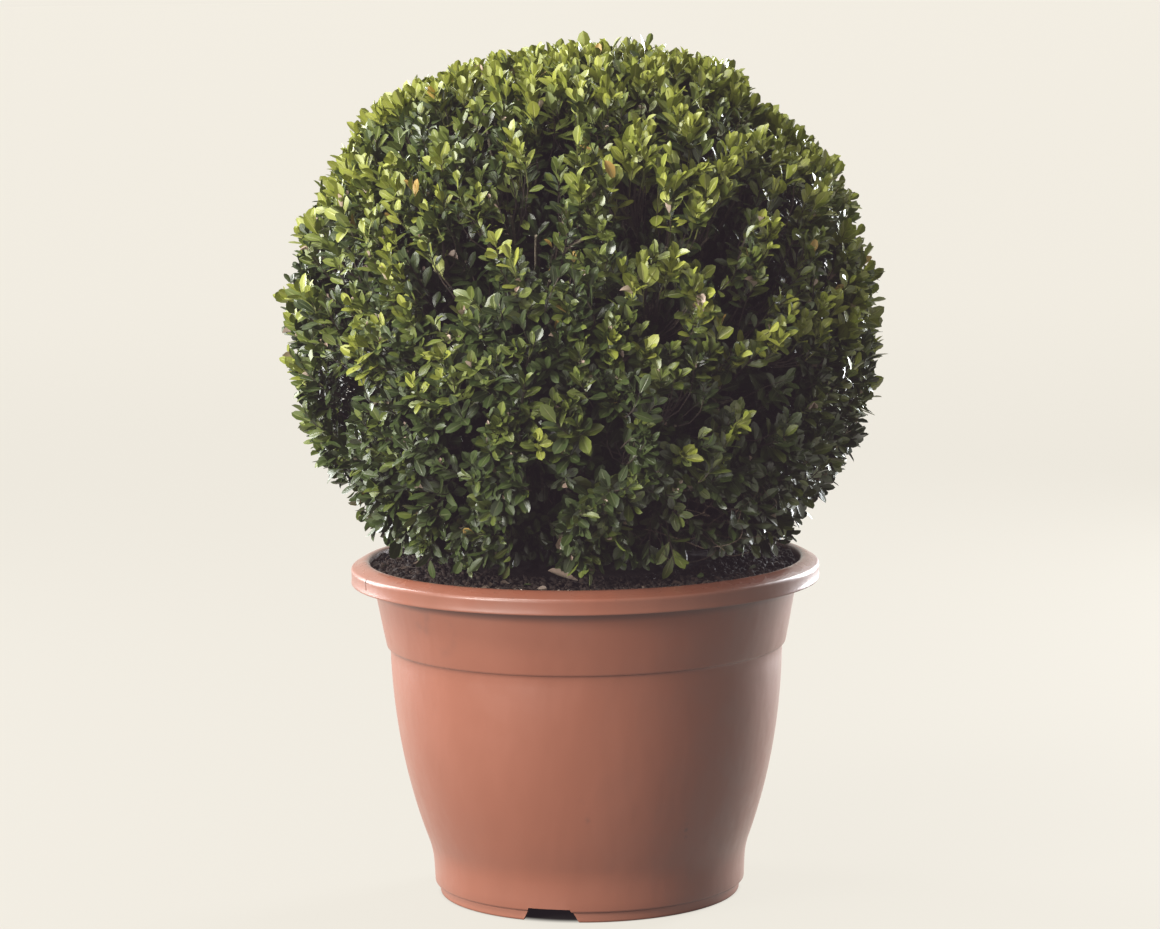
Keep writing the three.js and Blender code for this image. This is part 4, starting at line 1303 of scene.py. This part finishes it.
LEAF_LOOKS = {  # name, two colours of the blade, colour of the rib, wax
    DEEP: ("deep", (0.027, 0.043, 0.014), (0.070, 0.103, 0.024), (0.17, 0.19, 0.09), 0.29),
    MID: ("mid", (0.086, 0.119, 0.024), (0.200, 0.238, 0.044), (0.32, 0.34, 0.13), 0.30),
    FRESH: ("fresh", (0.198, 0.236, 0.034), (0.362, 0.386, 0.060), (0.54, 0.54, 0.19), 0.33),
    TINTED: ("tinted", (0.300, 0.190, 0.050), (0.520, 0.330, 0.070), (0.56, 0.46, 0.18), 0.40),
    DRY: ("dry", (0.330, 0.225, 0.170), (0.640, 0.510, 0.420), (0.60, 0.50, 0.40), 0.50),
}
leaf_finishes = {}
for kind, (kind_name, *look) in LEAF_LOOKS.items():
    finish, tree, shader, blade = leaf_finish(f"{kind_name}_leaf", *look, IOR=1.58)
    add_bump(tree, shader, blade.outputs["Height"], 0.0003)
    leaf_finishes[kind] = finish
print("leaf finishes:", [finish.name for finish in leaf_finishes.values()])

# %% [markdown]
# Leaves of one age are joined into pieces of a size that other programs still read whole.

# %% Join the leaves by age
LEAVES_A_PIECE = 16000


def leaf_piece(name, corners, tones, finish, slot="leaves", node="foliage_ball"):
    """One mesh of many leaves, with the tone and the flat map of each."""
    count = len(corners)
    first = (np.arange(count) * LEAF_CORNERS)[:, None, None]
    piece = array_piece(
        name,
        corners.reshape(-1, 3),
        (first + LEAF_QUADS).reshape(-1, 4),
        (first + LEAF_TRIANGLES).reshape(-1, 3),
    )
    tone = np.repeat(tones, LEAF_CORNERS)
    piece.data.attributes.new("tone", "FLOAT", "POINT").data.foreach_set("value", tone.astype(np.float32))
    leaf_map = np.stack([0.5 + LEAF_ACROSS, LEAF_ALONG], -1)
    corner_of = np.empty(len(piece.data.loops), np.int32)
    piece.data.loops.foreach_get("vertex_index", corner_of)
    uvs = leaf_map[corner_of % LEAF_CORNERS]
    piece.data.uv_layers.new(name="leaf_map").data.foreach_set("uv", uvs.astype(np.float32).ravel())
    settle(piece, finish, slot, node, crisp=28)


for kind, (kind_name, *_) in LEAF_LOOKS.items():
    mine = np.nonzero(leaf_ages == kind)[0]
    pieces_needed = max(1, math.ceil(len(mine) / LEAVES_A_PIECE))
    for number, part in enumerate(np.array_split(mine, pieces_needed), start=1):
        leaf_piece(f"{kind_name}_leaves_{number}", corners[part], leaf_tones[part], leaf_finishes[kind])

# %% [markdown]
# The end of a young stem is as green as its leaves. Everything older is brown.

# %% Join the shoots' stems
green_stem, *_ = mottled_finish("green_stem", (0.12, 0.15, 0.040), (0.21, 0.21, 0.06), 90.0, Roughness=0.5)
brown_stem, *_ = mottled_finish(
    "brown_stem", (0.026, 0.018, 0.014), (0.066, 0.046, 0.032), 90.0, Roughness=0.75
)
young_radii = 1.1 * shoot_radii[young, 2:]
tube_piece("green_shoot_ends", shoot_paths[young, 2:], young_radii, 3, green_stem, "leaves")
tube_piece("brown_shoots", shoot_paths, shoot_radii, 3, brown_stem, "bark")

# %% [markdown]
# In the worn place the leaves are gone, and thin pale twigs curl through the dark.

# %% Curl bare twigs through the worn place
TWIGS_TRIED = 64
TWIG_POINTS = 8
away = unit(BARE_PATCH - BALL_CENTRE)
twig_middle = BARE_PATCH - 0.015 * away + seeds.normal(size=(TWIGS_TRIED, 3)) * [0.036, 0.014, 0.022]
twig_middle[:, 2] = np.maximum(twig_middle[:, 2], SOIL_TOP + 0.012)
twig_reach = seeds.normal(size=(TWIGS_TRIED, 3)) * [0.020, 0.008, 0.008]
twig_curl = seeds.normal(size=(TWIGS_TRIED, 3)) * [0.016, 0.008, 0.016]
twig_start = twig_middle - twig_reach - 0.030 * away
twig_end = np.maximum(twig_middle + twig_reach, [-1, -1, SOIL_TOP + 0.006])
twig_curve = (twig_start, twig_middle + twig_curl, twig_end)
twig_paths = bent_path(twig_curve, np.linspace(0, 1, TWIG_POINTS)[None])
twig_paths = twig_paths[(reach_of(twig_paths) < 0.99).all(axis=1)]
twig_radii = seeds.uniform(0.00035, 0.00060, (len(twig_paths), 1)) * np.linspace(1, 0.6, TWIG_POINTS)
pale_twig, *_ = mottled_finish(
    "pale_twig", (0.080, 0.056, 0.042), (0.220, 0.160, 0.116), 120.0, Roughness=0.7
)
tube_piece("bare_twigs", twig_paths, twig_radii, 4, pale_twig, "bark")

# %% [markdown]
# The compost carries litter. The first of it is peat: brown fibres, each a thin bowed tube
# that lies nearly flat.

# %% Lay peat fibres on the compost
FIBRE_COUNT = 900


def lying_places(count, bearings, inner_radius, outer_radius, above):
    """Places on the compost, and a nearly level heading at each."""
    radius = np.sqrt(seeds.uniform(inner_radius**2, outer_radius**2, count))
    bearing = seeds.uniform(*np.radians(bearings), count)
    turn = seeds.uniform(0, math.tau, count)
    heading = around(1.0, turn, seeds.uniform(-0.12, 0.20, count))
    return around(radius, bearing, soil_height(radius) + above), heading


place_of, lying = lying_places(FIBRE_COUNT, (0, 360), 0.125, 0.186, 0.0016)
half_length = seeds.uniform(0.002, 0.007, (FIBRE_COUNT, 1))
bow = 0.5 * half_length * seeds.normal(size=(FIBRE_COUNT, 3)) * [1, 1, 0.3]
fibre_curve = (place_of - lying * half_length, place_of + bow, place_of + lying * half_length)
fibre_paths = bent_path(fibre_curve, np.linspace(0, 1, 4)[None])
fibre_radii = seeds.uniform(0.00018, 0.00042, (FIBRE_COUNT, 1)) * np.array([[0.6, 1.0, 1.0, 0.5]])
tube_piece("peat_fibres", fibre_paths, fibre_radii, 3, brown_stem, "compost", "soil")

# %% [markdown]
# The rest is leaves that were clipped off and fell, and small dry scraps, most of them along
# the front of the lip. One curled dead leaf lies right at the front. They use the leaf's own
# shape. Some are in a duller brown than the dry leaves above, because they have lain in the
# damp.

# %% Drop leaves and scraps on the compost
FALLEN_COUNT, SCRAP_COUNT = 40, 34
fallen, fallen_way = lying_places(FALLEN_COUNT, (0, 360), 0.150, 0.184, 0.0030)
scraps, scrap_way = lying_places(SCRAP_COUNT, (-125, -58), 0.181, 0.190, 0.0026)
DEAD_LEAF, DEAD_LEAF_WAY = (-0.006, -0.1740, 0.3145), (-0.98, 0.06, 0.18)
litter = np.concatenate([fallen, scraps, [DEAD_LEAF]])
litter_way = np.concatenate([fallen_way, scrap_way, [DEAD_LEAF_WAY]])
litter_length = np.concatenate(
    [seeds.uniform(0.006, 0.011, FALLEN_COUNT), seeds.uniform(0.002, 0.006, SCRAP_COUNT), [0.028]]
)
litter_count = len(litter)
litter_face = UP + 0.5 * seeds.normal(size=(litter_count, 3))
litter_face[-1] = (0, -0.30, 0.95)
litter_fold, litter_roll = seeds.uniform(0.2, 1.1, litter_count), seeds.uniform(-0.1, 0.5, litter_count)
litter_fold[-1], litter_roll[-1] = 0.45, 0.16
litter_corners = place_leaves(
    litter, litter_way, litter_face, litter_length, 0.5 * litter_length, litter_fold, litter_roll
)
damp_litter, *_ = leaf_finish(
    "damp_litter", (0.070, 0.048, 0.034), (0.190, 0.136, 0.100), (0.30, 0.23, 0.17), 0.62, rib_share=0.5
)
number = np.arange(litter_count)
is_green, is_dry = number < FALLEN_COUNT // 3, number >= FALLEN_COUNT + SCRAP_COUNT // 2
for name, mine, finish in (
    ("fallen_leaves", is_green, leaf_finishes[DEEP]),
    ("damp_litter", ~is_green & ~is_dry, damp_litter),
    ("dry_litter", is_dry, leaf_finishes[DRY]),
):
    leaf_piece(name, litter_corners[mine], seeds.random(mine.sum()), finish, "compost", "soil")

# %% [markdown]
# ## The studio
#
# The part stands on a plain pale floor that glows in the backdrop's colour, so that it looks
# evenly lit out to the horizon. The glow is for the camera and for what mirrors it; the
# light on the part comes from the boxes. There is no glow under the pot, nor in a thin ring
# just past its foot, which paints a dark contact shadow there, and little is mirrored in the
# corner at its foot, which stays dark.

# %% Lay the floor
BACKDROP = (0.886, 0.845, 0.756)
FLOOR_RADIUS = 260.0
deselect_all()
bpy.ops.mesh.primitive_circle_add(vertices=256, radius=FLOOR_RADIUS, fill_type="NGON", location=(0, 0, 0))
floor = bpy.context.object
floor.name = "studio_floor"
paper, tree, shader = new_finish(
    "pale_paper",
    Base_Color=(0.022, 0.021, 0.019, 1),
    Emission_Color=(*BACKDROP, 1),
    Roughness=0.9,
    Specular_IOR_Level=0.1,
)
from_pot = length_of(tree, "LENGTH", new_node(tree, "TexCoord").outputs["Object"])
ray = new_node(tree, "LightPath").outputs
far_off = ramp_value(tree, from_pot, 0.3, 7.0, 0.892, 0.955)
# Painted shadow: the glow is off under the pot and fades in just past its foot, a painted contact shadow.
glow_past_painted_shadow = ramp_value(tree, from_pot, 0.124, 0.1412)
out_of_corner = ramp_value(tree, from_pot, 0.134, 0.150)
mirrored = product(tree, ray["Is Glossy Ray"], out_of_corner)
looked_at = math_node(tree, "MAXIMUM", ray["Is Camera Ray"], mirrored)
glow = product(tree, far_off, glow_past_painted_shadow)
join(tree, product(tree, glow, looked_at), shader.inputs["Emission Strength"])
floor.data.materials.append(paper)
print("radius of the floor:", FLOOR_RADIUS)

# %% [markdown]
# One big soft box on the left and in front does most of the work. It hangs low, so the rim
# throws only a narrow shadow. A second box overhead lights the crown, a weak one low in
# front opens the shadows under the ball, and two narrow ones behind draw pale lines down the
# pot's sides. Leaves shine only where they mirror a box, so the boxes are large. The air
# around adds a little light from everywhere.

# %% Hang the lights
AIR_MIRRORED, AIR_LIGHT = 0.9, 0.27
MIDDLE, CROWN = (0, 0, 0.42), (0, 0, 0.6)


def softbox(name, place, target, width, height, power, colour):
    """An area light at a place, turned to a target."""
    deselect_all()
    bpy.ops.object.light_add(type="AREA", location=place)
    box = bpy.context.object
    box.name = name
    box.data.shape = "RECTANGLE"
    box.data.size, box.data.size_y = width, height
    box.data.energy = power
    box.data.color = colour
    box.rotation_euler = (Vector(target) - Vector(place)).to_track_quat("-Z", "Y").to_euler()


softbox("key_box", (-2.6, -2.1, 1.20), MIDDLE, 1.3, 1.1, 130, (1.0, 0.975, 0.93))
softbox("crown_box", (-1.5, -1.3, 2.9), CROWN, 1.2, 1.2, 81, (1.0, 0.98, 0.95))
softbox("low_front_box", (-1.6, -2.8, 0.40), MIDDLE, 1.0, 0.8, 14, (1.0, 0.98, 0.95))
softbox("right_edge_box", (1.8, 2.0, 0.8), MIDDLE, 0.7, 1.8, 142, (0.93, 0.96, 1.0))
softbox("left_edge_box", (-2.1, 1.4, 1.2), MIDDLE, 0.8, 2.4, 104, (0.98, 0.98, 1.0))

world = bpy.data.worlds.new("studio_air")
bpy.context.scene.world = world
world.use_nodes = True
tree = world.node_tree
background = fill_in(tree, tree.nodes["Background"], {"Color": (*BACKDROP, 1)})
ray = new_node(tree, "LightPath").outputs
mirrored = product(tree, ray["Is Glossy Ray"], AIR_MIRRORED)
seen = math_node(tree, "MAXIMUM", ray["Is Camera Ray"], mirrored)
join(tree, math_node(tree, "MAXIMUM", seen, AIR_LIGHT), background.inputs["Strength"])
print("lights:", [light.name for light in bpy.data.lights], "and the air")

# %% [markdown]
# In so pale a room, light strays inside the lens, and the darkest gap is a plum grey, not
# black. So the tone curve of each colour starts a little above nothing.

# %% Lift the blacks
BLACK_LIFT = (0.0175, 0.0130, 0.0160)
view = bpy.context.scene.view_settings
view.view_transform = "Standard"
view.use_curve_mapping = True
for curve, lift_by in zip(view.curve_mapping.curves, BLACK_LIFT):
    curve.points[0].location = (0, lift_by)
view.curve_mapping.update()
print("blacks lifted by", BLACK_LIFT)

# %% [markdown]
# ## The camera
#
# The camera stands three and a half metres away, a little above the rim, with a long lens,
# so the pot's sides stay nearly parallel. It is turned down by seven degrees and leans by
# one, and that lean is kept.

# %% Set the camera
CAMERA_PLACE = Vector((0, -3.4356, 0.8284))
SENSOR_WIDTH, FOCAL_LENGTH = 36.0, 117.6  # millimetres
PITCH, YAW, ROLL = math.radians(7.20), math.radians(-0.056), math.radians(-0.85)
ahead = Vector((math.sin(YAW) * math.cos(PITCH), math.cos(YAW) * math.cos(PITCH), -math.sin(PITCH)))
right = Vector((math.cos(YAW), -math.sin(YAW), 0))
up = right.cross(ahead)
right_leaning = math.cos(ROLL) * right + math.sin(ROLL) * up
up_leaning = -math.sin(ROLL) * right + math.cos(ROLL) * up
deselect_all()
bpy.ops.object.camera_add(location=CAMERA_PLACE)
camera = bpy.context.object
camera.data.sensor_width = SENSOR_WIDTH
camera.data.lens = FOCAL_LENGTH
turn = [[right_leaning[i], up_leaning[i], -ahead[i]] for i in range(3)]
camera.rotation_euler = Matrix(turn).to_euler()
bpy.context.scene.camera = camera
print("camera at", [round(v, 3) for v in CAMERA_PLACE])
